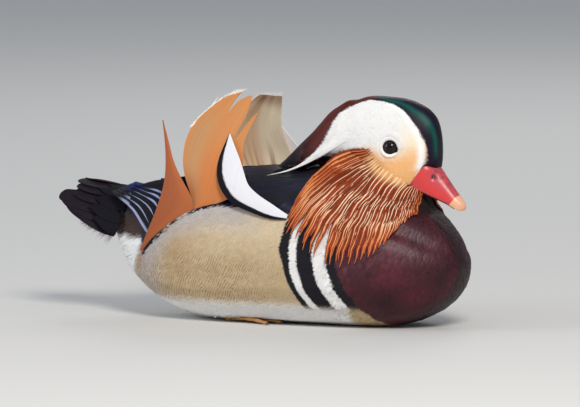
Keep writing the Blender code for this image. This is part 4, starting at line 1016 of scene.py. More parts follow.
def plate(name, grid, thick, face_colour, back_colour, rough=0.65, slits=()):
    """A thin closed plate over a grid of places from root to tip, with a colour on each face. A slit
    opens between a column and the next from a row upwards, and below that row the two are one."""
    rows, columns = grid.shape[:2]
    size = rows * columns
    lift = unit(np.cross(np.gradient(grid, axis=0), np.gradient(grid, axis=1))) * thick / 2
    points = np.concatenate([(grid + lift).reshape(-1, 3), (grid - lift).reshape(-1, 3)])
    index = np.arange(size).reshape(rows, columns)
    kept = np.ones(columns - 1, bool)
    for column, row in slits:
        index[:row, column + 1] = index[:row, column]
        kept[column] = False
    quads = np.stack([index[:-1, :-1], index[1:, :-1], index[1:, 1:], index[:-1, 1:]], axis=-1)[:, kept]
    quads = quads.reshape(-1, 4)
    start, end = quads.ravel(), np.roll(quads, -1, axis=1).ravel()
    rim = ~np.isin(start * size + end, end * size + start)
    walls = np.stack([end[rim], start[rim], start[rim] + size, end[rim] + size], axis=-1)
    faces = np.concatenate([quads, quads[:, ::-1] + size, walls])
    colour = np.concatenate([np.broadcast_to(tone, (rows, columns, 3)).reshape(-1, 3)
                             for tone in (face_colour, back_colour)])
    vane = np.tile(np.stack(shares(rows, columns), axis=-1).reshape(-1, 2), (2, 1))
    bake = vane * 0.46 + 0.02
    bake[size:, 0] += 0.5
    used, faces = np.unique(faces, return_inverse=True)
    mesh = bpy.data.meshes.new(name)
    mesh.from_pydata(points[used].tolist(), [], faces.reshape(-1, 4).tolist())
    paint_points(mesh, colour[used], rough, 0.0)
    lay_maps(mesh, vane[used], bake[used])
    mesh.shade_smooth()
    mesh.set_sharp_from_angle(angle=BLADE_EDGE)
    return add(name, mesh)


def through(rows, value):
    """Smooth sizes at any place between rows that each start with a place."""
    rows = np.asarray(rows, float)
    knots, sizes = rows[:, 0], rows[:, 1:]
    slopes = np.gradient(sizes, knots, axis=0)
    value = np.clip(np.asarray(value, float), knots[0], knots[-1])
    index = np.clip(np.searchsorted(knots, value, side="right") - 1, 0, len(knots) - 2)
    gap = (knots[index + 1] - knots[index])[..., None]
    t = (value - knots[index])[..., None] / gap
    rise = t * t * (3 - 2 * t)
    return (sizes[index] * (1 - rise) + sizes[index + 1] * rise
            + gap * (slopes[index] * t * (1 - t) ** 2 + slopes[index + 1] * t * t * (t - 1)))


def sail_place(flat, side, bulge):
    """Places on a leaning sail, from places along X and Z and how far they bulge outwards."""
    lean = through(SAIL_LEAN, flat[..., 1])[..., 0]
    return np.stack([flat[..., 0], side * (lean + bulge), flat[..., 1]], axis=-1) * MM


def lowered(flat, side):
    """Places along X and Z, lower on the left towards the fan's top."""
    drop = WHOLE_DROP * (side > 0) * np.clip(flat[..., 1] - WHOLE_DROP_FROM, 0, None)
    return np.stack([flat[..., 0], flat[..., 1] - drop], axis=-1)


def between(rear, front, columns):
    """A grid between two edges, whose columns follow them."""
    share = np.linspace(0, 1, columns)[None, :, None]
    return rear[:, None] * (1 - share) + front[:, None] * share


def fan_grid(side):
    """The fan's places along X and Z, and where its slits start."""
    if side > 0:
        rear, front = even(WHOLE_REAR, FAN_ROWS), even(WHOLE_FRONT, FAN_ROWS)
        return lowered(between(rear, front, sum(TONGUE_COLUMNS)), side), ()
    rear = even(FAN_REAR, FAN_ROWS)
    grid, slits, column = [], [], -1
    tongues = zip((FIRST_TONGUE, SECOND_TONGUE), (FIRST_SLIT, SECOND_SLIT), SLIT_STARTS, TONGUE_COLUMNS)
    for tongue, slit, start, columns in tongues:
        front = even(tongue, FAN_ROWS)
        grid.append(between(rear, front, columns))
        row = int(np.argmin(np.linalg.norm(front - start, axis=1))) + 1
        rear = np.concatenate([front[:row], even([front[row - 1], *slit], FAN_ROWS - row + 1)[1:]])
        column += columns
        slits.append((column, row))
    grid.append(between(rear, even(FAN_FRONT, FAN_ROWS), TONGUE_COLUMNS[-1]))
    return np.concatenate(grid, axis=1), slits


def fan_colours(across, along):
    """The outer and inner face's colours: tan in the middle, chestnut at the root, cream inside, with a brown
    top and streaks of painted shade from its folds low down.
    """
    outer = np.tile(SAIL_ORANGE, (across.size, 1))
    inner = np.tile(SAIL_CREAM, (across.size, 1))
    shape, across, along = across.shape, across.ravel(), along.ravel()
    outer = blended(outer, SAIL_TAN, 0.8 * ramp(across, 0.02, 0.2) * ramp(-across, -0.62, -0.3)
                    * ramp(-along, -0.86, -0.6))
    outer = blended(outer, SAIL_EDGE, 0.75 * ramp(across, 0.35, 0.75) * ramp(-along, -0.7, -0.35))
    outer = blended(outer, SPIKE_CHESTNUT, 0.9 * ramp(-along, -0.36, -0.06) * ramp(-across, -0.75, -0.1))
    inner = blended(inner, SAIL_ORANGE, 0.5 * ramp(-across, -0.55, -0.3))
    inner = blended(inner, SAIL_BROWN_AND_FOLD_SHADE, 0.75 * ramp(along, 0.82, 0.98))
    # Streaks of painted shade, where the inner face folds, over its lower part.
    fold_shade_streaks = np.clip(wavering(np.stack([across * 100, along * 9, 0 * along], axis=1), 9, 21), 0, 1)
    inner = blended(inner, SAIL_BROWN_AND_FOLD_SHADE, 0.7 * fold_shade_streaks * ramp(-along, -0.6, -0.3) * ramp(-across, -0.9, -0.6))
    return outer.reshape(*shape, 3), inner.reshape(*shape, 3)


def sail_plate(name, grid, side, outer, inner, slits=()):
    faces = (inner, outer) if side < 0 else (outer, inner)
    return plate(name, grid, SAIL_THICK, *faces, slits=slits)


sail_material = plumage("sail_web", barbs=2.0, slant=-150.0, contrast=0.09, bump=0.15, sheen=0.1)
for label, side in SIDES:
    flat, slits = fan_grid(side)
    across, along = shares(*flat.shape[:2])
    bulge = 3.2 * np.sin(math.pi * across) * np.sin(math.pi * (0.02 + 0.93 * along))
    ripple = 0.35 * np.sin(across * 19 + 1.3) * along ** 1.5
    fan = sail_plate(f"sail_fan_{label}", sail_place(flat, side, bulge + ripple), side,
                     *fan_colours(across, along), slits=slits)
    dressed(fan, sail_material, "sail_feather", f"sail_{label}")
    flat = between(even(SPIKE_REAR, SPIKE_ROWS), even(SPIKE_FRONT, SPIKE_ROWS), SPIKE_COLUMNS)
    across, _ = shares(*flat.shape[:2])
    chestnut = np.tile(SPIKE_CHESTNUT, (across.size, 1))
    outer = blended(chestnut, SAIL_EDGE, 0.4 * ramp(across.ravel(), 0.2, 1)).reshape(*across.shape, 3)
    spike = sail_plate(f"sail_spike_{label}", sail_place(flat, side, 0.5 * np.sin(math.pi * across)), side,
                       outer, np.array(SAIL_CREAM) * 0.6)
    dressed(spike, sail_material, "sail_feather")
    edge = even(WHOLE_TOP if side > 0 else FAN_REAR, EDGE_STEPS)[FRINGE_FROM:]
    count = FRINGE_WISPS[label]
    root = edge[np.sort(draw.integers(0, len(edge), count))]
    way = unit(np.array((0.8, 0.6)) + 0.22 * draw.normal(size=(count, 2)))
    length = draw.uniform(3, 8.5, count)[:, None, None] * np.linspace(-0.35, 1, 4)[None, :, None]
    wisps = root[:, None] + way[:, None] * length
    wisps[..., 1] = np.minimum(wisps[..., 1], SAIL_TOP)
    path = sail_place(lowered(wisps, side), side, 0.6)
    fringe = blades(f"sail_fringe_{label}", path, np.broadcast_to((0, side, 0.2), path.shape),
                    0.17 * MM * np.array((1, 1, 0.7, 0.2)), 0.1 * MM, WISP_WHITE)
    dressed(fringe, brow_material, "sail_feather")

# The white scapulars: a long white feather with a broad black border, over each shoulder.
# It runs back from the side of the breast, and its tip stands up against the front of the sail.
SCAPULAR = np.array(((31, 57.5, 82), (18, 58, 85.5), (2, 57.5, 92), (-10, 56, 99), (-18, 52.5, 110),
                     (-22.5, 47, 122), (-25.5, 39.5, 139.5)), float)
SCAPULAR_HALF = np.array((1.8, 5.2, 7.2, 9.6, 10.8, 8.4, 0.4))
SCAPULAR_THICK = 0.8 * MM
SCAPULAR_BORDER, BORDER_SOFTNESS = 0.26, 0.03
# Each feather's facing, its hollow, its share of the width, how far its tip stands out, and its white.
# The left one stands outside the drawn-in sail and shows its inner face.
SCAPULARS = {
    "R": ((0, 1, 0.25), 0.16, 1.0, 0.0, (0.74, 0.73, 0.77)),
    # The left one's white is painted light: far brighter than the right one's, so that the inner face it
    # shows reads as bright as the right one's outer face.
    "L": ((-0.22, 1, -0.1), 0.04, 0.8, 3.4, (0.97, 0.96, 0.98)),
}


def leaf(spine, halves, face, rows, columns, side, hollow):
    """The grid of a single broad feather over its spine, a little hollow towards the bird."""
    t = np.linspace(0, 1, rows)
    line = spline(spine, t)
    half = np.maximum(spline(np.asarray(halves)[:, None], t)[:, 0], 0.15)
    ways = unit(np.gradient(line, axis=0))
    across = unit(np.cross(ways, np.broadcast_to(face, ways.shape)))
    outward = unit(np.cross(across, ways))
    u = np.linspace(-1, 1, columns)
    grid = (line[:, None] + across[:, None] * (half[:, None] * u[None])[..., None]
            + outward[:, None] * (hollow * half[:, None] * (1 - u[None] ** 2))[..., None])
    return mirrored(grid, side) * MM


def bordered_finish():
    """White vane with a wavering black border along one edge."""
    material = plumage("white_scapular", barbs=60, slant=26, contrast=0.025, bump=0.08, sheen=0.0, shine=0.1)
    tree, base, vane_colour = base_of(material)
    vane, across, _ = on_vane(tree)
    noise = wired(tree, "TexNoise", {"Vector": vane, "Scale": 26.0}).outputs["Fac"]
    wavering_place = worked(tree, "MULTIPLY_ADD", noise, 0.08, across)
    start = 1.04 - SCAPULAR_BORDER
    border = mask(tree, wavering_place, start - BORDER_SOFTNESS, start + BORDER_SOFTNESS)
    tree.links.new(mixed(tree, border, vane_colour, (*BLACK, 1)), base)
    return material


scapular_material = bordered_finish()
for label, side in SIDES:
    face, hollow, share, stand_out, white = SCAPULARS[label]
    spine = SCAPULAR + np.array((0, stand_out, 0)) * ramp(SCAPULAR[:, 2:], 84, 99)
    grid = leaf(spine, SCAPULAR_HALF * share, face, 60, 15, side, hollow)
    scapular = plate(f"scapular_feather_{label}", grid, SCAPULAR_THICK, white, white)
    dressed(scapular, scapular_material, "white_feather", f"scapular_{label}")

# The folded wings: blue-black flight feathers that lie over one another beside the rump.
# The outer web of each long feather has a silver-grey edge, and glossy blue feathers cover their roots.
# The wing's sections: place along it, lowest, highest, and how far out the lowest and the highest lie.
WING = ((-136, 90, 94, 20, 15), (-124, 87, 96, 28, 21), (-108, 81, 97.5, 36, 28), (-96, 71, 99, 42, 34),
        (-87, 64, 100, 46, 36), (-75, 70, 103, 49.5, 40), (-50, 84, 107, 50, 43), (-25, 91, 110, 49, 42),
        (2, 87, 105, 50, 45), (14, 85.5, 97, 51, 48.5))
WING_REAR, WING_FRONT = -112, -14
WING_DEPTH = 9
WING_ROWS, WING_CORNERS = 40, 9
# The lowest feather of each row from root to tip, and the step to the next one.
PRIMARY = np.array(((-78, 43.5, 53), (-92, 40.5, 66), (-107, 34, 81), (-133, 20.5, 91)), float)
PRIMARY_HALVES = (3.2, 4.1, 4.1, 1.9)
PRIMARY_STEP = np.array((6.4, 1.75, 2.4))
PRIMARY_TUCK = 1.1 * np.array((1, 0.75, 0.3, 0))
PRIMARY_COUNT, PRIMARY_ROWS, PRIMARY_COLUMNS = 6, 40, 13
PRIMARY_THICK = 0.45 * MM
TERTIAL = np.array(((-35, 44.5, 105), (-62, 42, 102.5), (-90, 34.5, 97.5), (-114, 25.5, 93.5)), float)
TERTIAL_HALVES = (4.6, 5.4, 5.2, 1.5)
TERTIAL_STEP = np.array((6.5, -5.2, 0.1))
TERTIAL_COUNT, TERTIAL_ROWS, TERTIAL_COLUMNS = 4, 30, 9
TERTIAL_THICK = 0.6 * MM
TIPS_CLOSER = 0.35
SILVER = (0.3, 0.34, 0.54)
WING_BLUE = (0.008, 0.02, 0.12)
QUILL_BLACK = (0.008, 0.007, 0.014)
FORM_EDGE = math.radians(50)


def lofted(name, rings, tint, rough=0.5, waves=0.0, closed=False):
    """A mesh through rings of places, with flat ends, or with its last ring joined to its first."""
    rows, corners = rings.shape[:2]
    index = np.arange(rows * corners).reshape(rows, corners)
    after = np.roll(index, -1, axis=1)
    if closed:
        quads = np.stack([index, np.roll(index, -1, axis=0), np.roll(after, -1, axis=0), after], axis=-1)
        ends = []
    else:
        quads = np.stack([index[:-1], after[:-1], after[1:], index[1:]], axis=-1)
        ends = [index[0, ::-1].tolist(), index[-1].tolist()]
    form = bmesh.new()
    made = [form.verts.new(point) for point in rings.reshape(-1, 3).tolist()]
    for face in quads.reshape(-1, 4).tolist() + ends:
        form.faces.new([made[number] for number in face])
    bmesh.ops.recalc_face_normals(form, faces=form.faces)
    mesh = bpy.data.meshes.new(name)
    form.to_mesh(mesh)
    form.free()
    paint_points(mesh, np.broadcast_to(tint, (rows, corners, 3)).reshape(-1, 3), rough, waves)
    vane = np.stack(shares(rows, corners), axis=-1).reshape(-1, 2)
    lay_maps(mesh, vane, vane * 0.96 + 0.02)
    mesh.shade_smooth()
    if not closed:
        mesh.set_sharp_from_angle(angle=FORM_EDGE)
    return add(name, mesh)


def combined(name, parts):
    """Some mesh objects made into one, with their own UV maps and attributes kept."""
    form = bmesh.new()
    for part in parts:
        form.from_mesh(part.data)
    mesh = bpy.data.meshes.new(name)
    form.to_mesh(mesh)
    form.free()
    for part in parts:
        bpy.data.objects.remove(part)
    mesh.set_sharp_from_angle(angle=BLADE_EDGE)
    return add(name, mesh)


def wing_sections(side):
    """The dark body of a folded wing as rings, from the rear to the front."""
    x = np.linspace(WING_REAR, WING_FRONT, WING_ROWS)
    low, high, low_y, high_y = through(WING, x).T[:, :, None]
    t = np.linspace(0, 1, WING_CORNERS)[None]
    outer = np.stack([np.broadcast_to(x[:, None], (WING_ROWS, WING_CORNERS)),
                      low_y + (high_y - low_y) * t + 1.4 * np.sin(math.pi * t),
                      low + 0.4 + (high - low) * t], axis=-1)
    inner = outer[:, ::-1] - np.array((0, WING_DEPTH, 0.5))
    return mirrored(np.concatenate([outer, inner], axis=1), side) * MM


def stepped(path, step, number):
    """The path of the feather so many steps up a row, whose tips lie closer together than its roots."""
    path = path + step * number
    path[-1] -= step * number * TIPS_CLOSER
    return path


def primary_colours(number):
    """A long feather's colours: silver along the edge of its outer web, bluer towards the row's top."""
    u, v = np.meshgrid(np.linspace(-1, 1, PRIMARY_COLUMNS), np.linspace(0, 1, PRIMARY_ROWS))
    u, v = u.ravel(), v.ravel()
    silver = ramp(u, 0.0, 0.1) * ramp(-u, -0.94, -0.86) * ramp(-v, -0.9, -0.8) * ramp(v, 0.12, 0.2)
    tint = np.tile(QUILL_BLACK, (u.size, 1))
    tint = blended(tint, WING_BLUE, 0.8 * ramp(number - 3.5 + 1.2 * v, 0, 1))
    return blended(tint, SILVER, silver).reshape(PRIMARY_ROWS, PRIMARY_COLUMNS, 3)


quill_material = plumage("quills", barbs=70, slant=30, contrast=0.2, bump=0.12, sheen=0, shine=0.18)
for label, side in SIDES:
    parts = [lofted("wing_core", wing_sections(side), BLACK, 0.75)]
    for number in range(PRIMARY_COUNT):
        path = stepped(PRIMARY, PRIMARY_STEP, number)
        path[:, 1] -= number * PRIMARY_TUCK
        grid = leaf(path, PRIMARY_HALVES, (0.5, 0.5, 0.7), PRIMARY_ROWS, PRIMARY_COLUMNS, side, 0.1)
        tint = primary_colours(number)
        parts.append(plate("primary", grid, PRIMARY_THICK, tint, tint, 0.58))
    for number in range(TERTIAL_COUNT):
        path = stepped(TERTIAL, TERTIAL_STEP, number)
        grid = leaf(path, TERTIAL_HALVES, (0, 0.75, -0.5), TERTIAL_ROWS, TERTIAL_COLUMNS, side, 0.12)
        parts.append(plate("tertial", grid, TERTIAL_THICK, QUILL_BLACK, QUILL_BLACK, 0.36))
    wing = combined(f"wing_feathers_{label}", parts)
    dressed(wing, quill_material, "dark_feather", f"wing_{label}")

# The tail: twelve blunt dark feathers in a low roof over the rump, under a tier of short coverts.
# Its left half spans from the middle to the side, by a row of roots and a row of tips.
TAIL_ROOT = np.array(((-128, 0, 90), (-129, 12, 85), (-130, 22, 73), (-131, 27, 61)), float)
TAIL_TIP = np.array(((-168, 0, 95.5), (-172, 12, 93), (-177, 22, 87), (-165, 30, 77)), float)
TAIL_START = -0.05
TAIL_ENDS = (1.0, 0.9, 0.84, 1.0, 0.99, 0.96)
TAIL_HALVES = (4.5, 6.4, 7.6, 7.8, 5.6)
TAIL_THICK = 0.6 * MM
TAIL_ROWS, TAIL_COLUMNS = 26, 9
TAIL_BLACK = (0.013, 0.008, 0.015)
COVERT_START = -0.12
COVERT_ENDS = (0.42, 0.48, 0.42, 0.48, 0.42)
COVERT_HALVES = (4, 5.4, 4.6, 1.0)


def tail_place(across, t):
    """Places on the tail's left half, from its middle to its side and from root to tip."""
    root, tip = (spline(rows, np.atleast_1d(across)) for rows in (TAIL_ROOT, TAIL_TIP))
    return root + (tip - root) * np.atleast_1d(t)[:, None]


def tail_quill(across, side, lift, start, end, halves):
    """The grid of one feather of the tail, with a blunt end and its edges turned down."""
    length = np.linspace(0, 1, TAIL_ROWS)
    t = np.linspace(start, end, TAIL_ROWS)
    way = unit(tail_place(across + 0.05, t) - tail_place(across - 0.05, t))
    along = unit(tail_place(across, t + 0.1) - tail_place(across, t))
    up = np.cross(way, along)
    up *= np.sign(up[:, 2:3])
    line = tail_place(across, t) + up * lift
    half = spline(np.asarray(halves)[:, None], length)
    u = np.linspace(-1, 1, TAIL_COLUMNS)
    blunt = 3.2 * (1 - np.sqrt(1 - 0.92 * u ** 2)) * (length ** 8)[:, None]
    grid = (line[:, None] + way[:, None] * (half * u)[..., None] + up[:, None] * (-0.25 * u ** 2)[:, None]
            - along[:, None] * blunt[..., None])
    return mirrored(grid, side) * MM


parts = []
for _, side in SIDES:
    for number, end in enumerate(TAIL_ENDS):
        across = (number + 0.55) / len(TAIL_ENDS)
        lift = 1.15 * (2 - number) + 0.5 * (side > 0)
        grid = tail_quill(across, side, lift, TAIL_START, end, TAIL_HALVES)
        parts.append(plate("tail", grid, TAIL_THICK, TAIL_BLACK, TAIL_BLACK, 0.62))
    for number, end in enumerate(COVERT_ENDS):
        across = (number + 0.5) / len(COVERT_ENDS)
        grid = tail_quill(across, side, 3.4 - 0.3 * number, COVERT_START, end, COVERT_HALVES)
        parts.append(plate("covert", grid, TAIL_THICK, BLACK, BLACK, 0.7))
tail_material = plumage("tail_quills", barbs=90, slant=40, contrast=0.3, bump=0.25, sheen=0, shine=0.12)
dressed(combined("tail_feathers", parts), tail_material, "dark_feather", "tail")

# The tail's fringe: soft grey tips of long under tail feathers, which hang below the quills at each side.
FRINGE_COUNT = 90
FRINGE_WAY = np.array((-0.75, 0.1, -0.6))
FRINGE_SHIFT = np.array((2, -6.5, -4))
FRINGE_SHAPE = np.array((1, 1, 0.8, 0.5, 0.1))
FRINGE_HALF, FRINGE_THICK = 0.2 * MM, 0.12 * MM
FRINGE_GREY = (0.17, 0.145, 0.13)
for label, side in SIDES:
    start = draw.uniform(0, 1, FRINGE_COUNT)
    root = tail_place(np.full(FRINGE_COUNT, 0.98), 0.05 + 0.75 * start)
    root += draw.normal(size=(FRINGE_COUNT, 3)) * 0.8
    way = unit(FRINGE_WAY + 0.22 * draw.normal(size=(FRINGE_COUNT, 3)))
    length = draw.uniform(5, 11, FRINGE_COUNT) * (1.05 - 0.5 * start)
    share = np.linspace(-0.2, 1, len(FRINGE_SHAPE))[:, None]
    path = root[:, None] + way[:, None] * length[:, None, None] * share + FRINGE_SHIFT
    up = np.broadcast_to((0, side, 0.3), path.shape)
    fringe = blades(f"tail_fringe_{label}", mirrored(path, side) * MM, up, FRINGE_HALF * FRINGE_SHAPE,
                    FRINGE_THICK, FRINGE_GREY, 0.85)
    dressed(fringe, brow_material, "body_feather")

# The bill: short, deep at its root, with a hooked pale nail.
# Rosy red horn with dark mottling near the ridge and the nostril, and a bright line along its edge.
# The upper bill's sections: distance from the root, ridge, edge, and half width.
BILL_UPPER = ((-8, 14, -9, 12.3), (-2, 14, -8, 12.2), (4, 13.8, -7, 11), (12, 12, -5, 8.8),
              (20, 9.9, -2.8, 7.5), (28, 8, -0.9, 6.5), (33, 6.8, -0.4, 5.6), (36.5, 5.6, -0.1, 4.3),
              (38.2, 4.2, 0.6, 2.7), (38.9, 2.9, 1.5, 1.1))
BILL_CORNERS, PALATE_CORNERS = 41, 7
NOSTRIL_PLACE, NOSTRIL_TURN = 7, 0.7
NOSTRIL_LENGTH, NOSTRIL_HEIGHT = 2.4, 0.13
NAIL_START, NAIL_OVERLAP, NAIL_RAISED = 29.2, 0.4, 0.22
LOWER_END, LOWER_DEPTH, BILL_GAP = 33, 2.8, 0.35
BILL_RED = (0.62, 0.055, 0.065)
BILL_BRIGHT = (0.74, 0.04, 0.03)
BILL_PALE = (0.8, 0.2, 0.16)
BILL_DARK = (0.2, 0.05, 0.07)
NOSTRIL_PAINTED_SHADE = (0.05, 0.008, 0.01)
NAIL_HORN = (0.8, 0.43, 0.27)
NAIL_MOTTLE = (0.6, 0.26, 0.13)
HORN_SCATTER = (0.0012, 0.0005, 0.0004)


def bill_points(distance, rise, y):
    """Places in metres, from how far ahead of the bill's root, above its line and to the side they lie."""
    x = BILL_ROOT[0] + distance * math.cos(BILL_DIP) + rise * math.sin(BILL_DIP)
    z = BILL_ROOT[1] - distance * math.sin(BILL_DIP) + rise * math.cos(BILL_DIP)
    return np.stack([x, y, z], axis=-1) * MM


def horn_finish(name, mottle, mottle_share, gloss):
    """Horn with fine cloudy mottling over its stored tint."""
    material, tree, shader = new_finish(name)
    place = wired(tree, "TexCoord", {}).outputs["Object"]
    noise = {"Vector": place, "Scale": 420.0, "Detail": 5.0, "Roughness": 0.62}
    clouds = wired(tree, "TexNoise", noise).outputs["Fac"]
    marked = wired(tree, "SeparateColor", {0: stored(tree, "finish")}).outputs["Green"]
    share = worked(tree, "MULTIPLY", mask(tree, clouds, 0.38, 0.66), marked)
    share = worked(tree, "MULTIPLY", share, mottle_share)
    relief = wired(tree, "Bump", {"Height": clouds, "Strength": 0.25, "Distance": 0.3 * MM})
    tree.links.new(mixed(tree, share, stored(tree, "tint"), (*mottle, 1)), shader.inputs["Base Color"])
    tree.links.new(relief.outputs[0], shader.inputs["Normal"])
    shader.inputs["Roughness"].default_value = gloss
    shader.inputs["Subsurface Weight"].default_value = 0.06
    shader.inputs["Subsurface Radius"].default_value = HORN_SCATTER
    return material


def upper_rings(distance, grown=0.0):
    """Rings of the upper bill, over the ridge from edge to edge and back under it, with the turn round
    the ridge and how deep in the nostril each place lies."""
    top, edge, half = through(BILL_UPPER, distance).T[:, :, None]
    turn = np.linspace(0, math.pi, BILL_CORNERS)[None]
    arch = 0.8 - 0.42 * ramp(-distance, -9, 1)[:, None]
    rise = edge + (top - edge + grown) * np.sin(turn) ** arch
    y = (half + grown) * np.cos(turn) * (1 + 0.035 * np.sin(turn * 2) ** 2)
    lip = hump(turn, 0.16, 0.1) + hump(math.pi - turn, 0.16, 0.1)
    nearest = np.minimum(np.abs(turn - NOSTRIL_TURN), np.abs(math.pi - turn - NOSTRIL_TURN))
    pit = hump(distance[:, None], NOSTRIL_PLACE, NOSTRIL_LENGTH) * hump(nearest, 0, NOSTRIL_HEIGHT)
    y = y * (1 + 0.03 * lip) * (1 - 0.17 * pit)
    rise = rise - 0.5 * pit
    under = np.linspace(0.96, -0.96, PALATE_CORNERS)
    palate = edge + 0.14 * (top - edge) * (1 - under ** 2)
    rise = np.concatenate([rise, palate], axis=1)
    y = np.concatenate([y, -(half + grown) * under], axis=1)
    return bill_points(distance[:, None], rise, y), turn, pit


distance = np.linspace(-8, NAIL_START + NAIL_OVERLAP, 90)
rings, turn, pit = upper_rings(distance)
height = np.sin(turn)
tint = np.tile(BILL_RED, (*rings.shape[:2], 1))
# The bright edge line, the paler tip, and painted shade in the nostril's opening.
for tone, share in ((BILL_BRIGHT, hump(height, 0.2, 0.1)),
                    (BILL_PALE, 0.35 * ramp(distance, 22, 30)[:, None] * ramp(height, 0.2, 0.6)),
                    (NOSTRIL_PAINTED_SHADE, ramp(pit, 0.35, 0.75))):
    share = np.broadcast_to(share, pit.shape)[..., None]
    tint[:, :BILL_CORNERS] = tint[:, :BILL_CORNERS] * (1 - share) + np.array(tone) * share
mottle = np.full(rings.shape[:2], 0.2)
mottle[:, :BILL_CORNERS] = (0.1 + 0.75 * ramp(height, 0.5, 0.9)
                            + 0.3 * hump(distance, 9, 6)[:, None] * ramp(height, 0.45, 0.8))
upper_bill = lofted("upper_bill", rings, tint, 0.35, mottle.ravel())
distance = np.concatenate([np.linspace(NAIL_START, 38, 30), np.linspace(38.15, 38.9, 7)])
nail = lofted("nail", upper_rings(distance, NAIL_RAISED)[0], NAIL_HORN, 0.3, 0.25)
distance = np.linspace(-6, LOWER_END, 60)
_, edge, half = through(BILL_UPPER, distance).T[:, :, None]
turn = np.linspace(0, math.pi, 21)
depth = LOWER_DEPTH * (1 - 0.5 * np.clip(distance, 0, None) / LOWER_END)[:, None]
rings = bill_points(distance[:, None], edge - BILL_GAP - depth * np.sin(turn), 0.9 * half * np.cos(turn))
# The lower bill is the upper's red at just over half its brightness: painted shade under the upper bill.
lower_bill = lofted("lower_bill", rings, np.array(BILL_RED) * 0.55, 0.4, 0.5)
bill_material = horn_finish("bill_horn", BILL_DARK, 1.0, 0.34)
dressed(upper_bill, bill_material, "bill_horn", "bill_upper")
dressed(lower_bill, bill_material, "bill_horn", "bill_lower")
dressed(nail, horn_finish("nail_horn", NAIL_MOTTLE, 0.5, 0.32), "nail_horn", "bill_nail")

# The eyes: glossy dark balls deep in the lids.
# A thin black lid margin runs round each, drawn to a point at the front corner, inside a ring of
# short white feathers.
EYE_BALL = 6.5
PUPIL_BLACK = (0.003, 0.003, 0.004)
IRIS_BROWN = (0.012, 0.005, 0.003)
LID_OPENING = 5.05
LID_OUTER = 8.8
LID_CORNER = math.radians(-24)
LID_ROWS, LID_CORNERS = 26, 72
LID_THICK = 1.0 * MM
LID_MARGIN = (0.012, 0.01, 0.01)


def round_eye(side, out, off, turn):
    """Places round an eye: how far out along its axis, how far off the axis, and which way from it."""
    axis = mirrored(EYE_AXIS, side)
    forward = unit(np.array((1.0, 0, 0)) - axis * axis[0])
    upward = np.cross(forward, axis)
    upward *= np.sign(upward[2])
    out, ahead, above = np.broadcast_arrays(out, off * np.cos(turn), off * np.sin(turn))
    return (mirrored(EYE_CENTRE, side) + axis * out[..., None] + forward * ahead[..., None]
            + upward * above[..., None]) * MM


def lid_form(side):
    """The lids as rings, from inside the opening over the rolled margin to the face, and how far along
    that way each ring lies."""
    turn = np.linspace(0, 2 * math.pi, LID_CORNERS, endpoint=False)
    from_corner = np.angle(np.exp(1j * (turn - LID_CORNER)))
    opening = LID_OPENING * (1 - 0.06 * np.abs(np.sin(turn)) + 0.24 * hump(from_corner, 0, 0.33))
    s = np.linspace(-0.12, 1, LID_ROWS)[:, None]
    off = opening + (LID_OUTER - opening) * np.clip(s, 0, 1) - 0.5 * ramp(-s, 0, 0.12)
    ball = np.sqrt(np.maximum(EYE_BALL ** 2 - np.minimum(opening, EYE_BALL - 0.2) ** 2, 0))
    face = ball + 0.7 + (4.6 - ball) * ramp(s, 0, 0.7) + 0.35 * ramp(s, 0.1, 0.5) - 1.1 * ramp(s, 0.6, 1.0)
    roll = 0.35 * hump(s, 0.1, 0.1)
    out = np.where(s < 0, ball + 0.4 + 5 * s, face - 0.9 * (1 - ramp(s, 0, 0.3)) + roll)
    return round_eye(side, out, off, turn), s


eye_material, tree, shader = new_finish("eye_gloss")
tree.links.new(stored(tree, "tint"), shader.inputs["Base Color"])
shader.inputs["Roughness"].default_value = 0.05
shader.inputs["Specular IOR Level"].default_value = 0.24
lid_material = plumage("lids", barbs=0, slant=0, contrast=0.04, bump=0.1, sheen=0.2)
for label, side in SIDES:
    polar = np.linspace(0.02, math.pi - 0.02, 40)[:, None]
    turn = np.linspace(0, 2 * math.pi, 48, endpoint=False)
    radius = EYE_BALL * (1 + 0.03 * hump(polar, 0, 0.5))
    ball = round_eye(side, radius * np.cos(polar), radius * np.sin(polar), turn)
    iris = (ramp(polar, 0.32, 0.36) * ramp(-polar, -0.8, -0.74))[..., None]
    eye = lofted(f"eyeball_{label}", ball, np.array(PUPIL_BLACK) + iris * np.array(IRIS_BROWN), 0.05)
    dressed(eye, eye_material, "eye_glass", f"eye_{label}")
    rings, s = lid_form(side)
    tint = head_marks(rings.reshape(-1, 3) / MM)[0]
    for tone, share in ((RING_WHITE, ramp(-s, -0.34, -0.22)), (LID_MARGIN, ramp(-s, -0.16, -0.1))):
        tint = blended(tint, tone, np.broadcast_to(share, rings.shape[:2]).ravel())
    tint = tint.reshape(rings.shape)
    under = rings[::-1] - mirrored(EYE_AXIS, side) * LID_THICK
    lids = lofted(f"lids_{label}", np.concatenate([rings, under]), np.concatenate([tint, tint[::-1]]), 0.6,
                  closed=True)
    dressed(lids, lid_material, "face_feather")

# The legs and feet, tucked under the belly.
# Yellow-orange scaled skin: a round shank laid back from the heel, three long toes with knuckles and
# dark claws, and a thin half-shut web between them.
HEEL = np.array((-28.5, 31, 2.6))
SHANK_TOP = np.array((-61, 33, 16))
SHANK_RADIUS = 2.5
# Each toe's tip, from the outer toe to the inner one, and how many knuckles it has.
TOES = (((7.5, 44, 1.4), 4), ((13, 32, 1.4), 3), ((6.5, 22.5, 1.4), 2))
TOE_RADIUS = 1.75
TOE_BOW = np.array((0, 0, 1.2))
CLAW_LENGTH, CLAW_RADIUS = 3.0, 0.95
CLAW_DROP = np.array((0, 0, -0.9))
WEB_THICK = 0.7 * MM
# The lowest that a toe's skin and the middle of a web lie over the ground.
TOE_LOWEST, WEB_LOWEST = 0.05, 1.0
LEG_ORANGE = (0.6, 0.28, 0.07)
LEG_MOTTLE = (0.3, 0.13, 0.03)
WEB_ORANGE = (0.5, 0.22, 0.06)
CLAW_DARK = (0.05, 0.035, 0.025)


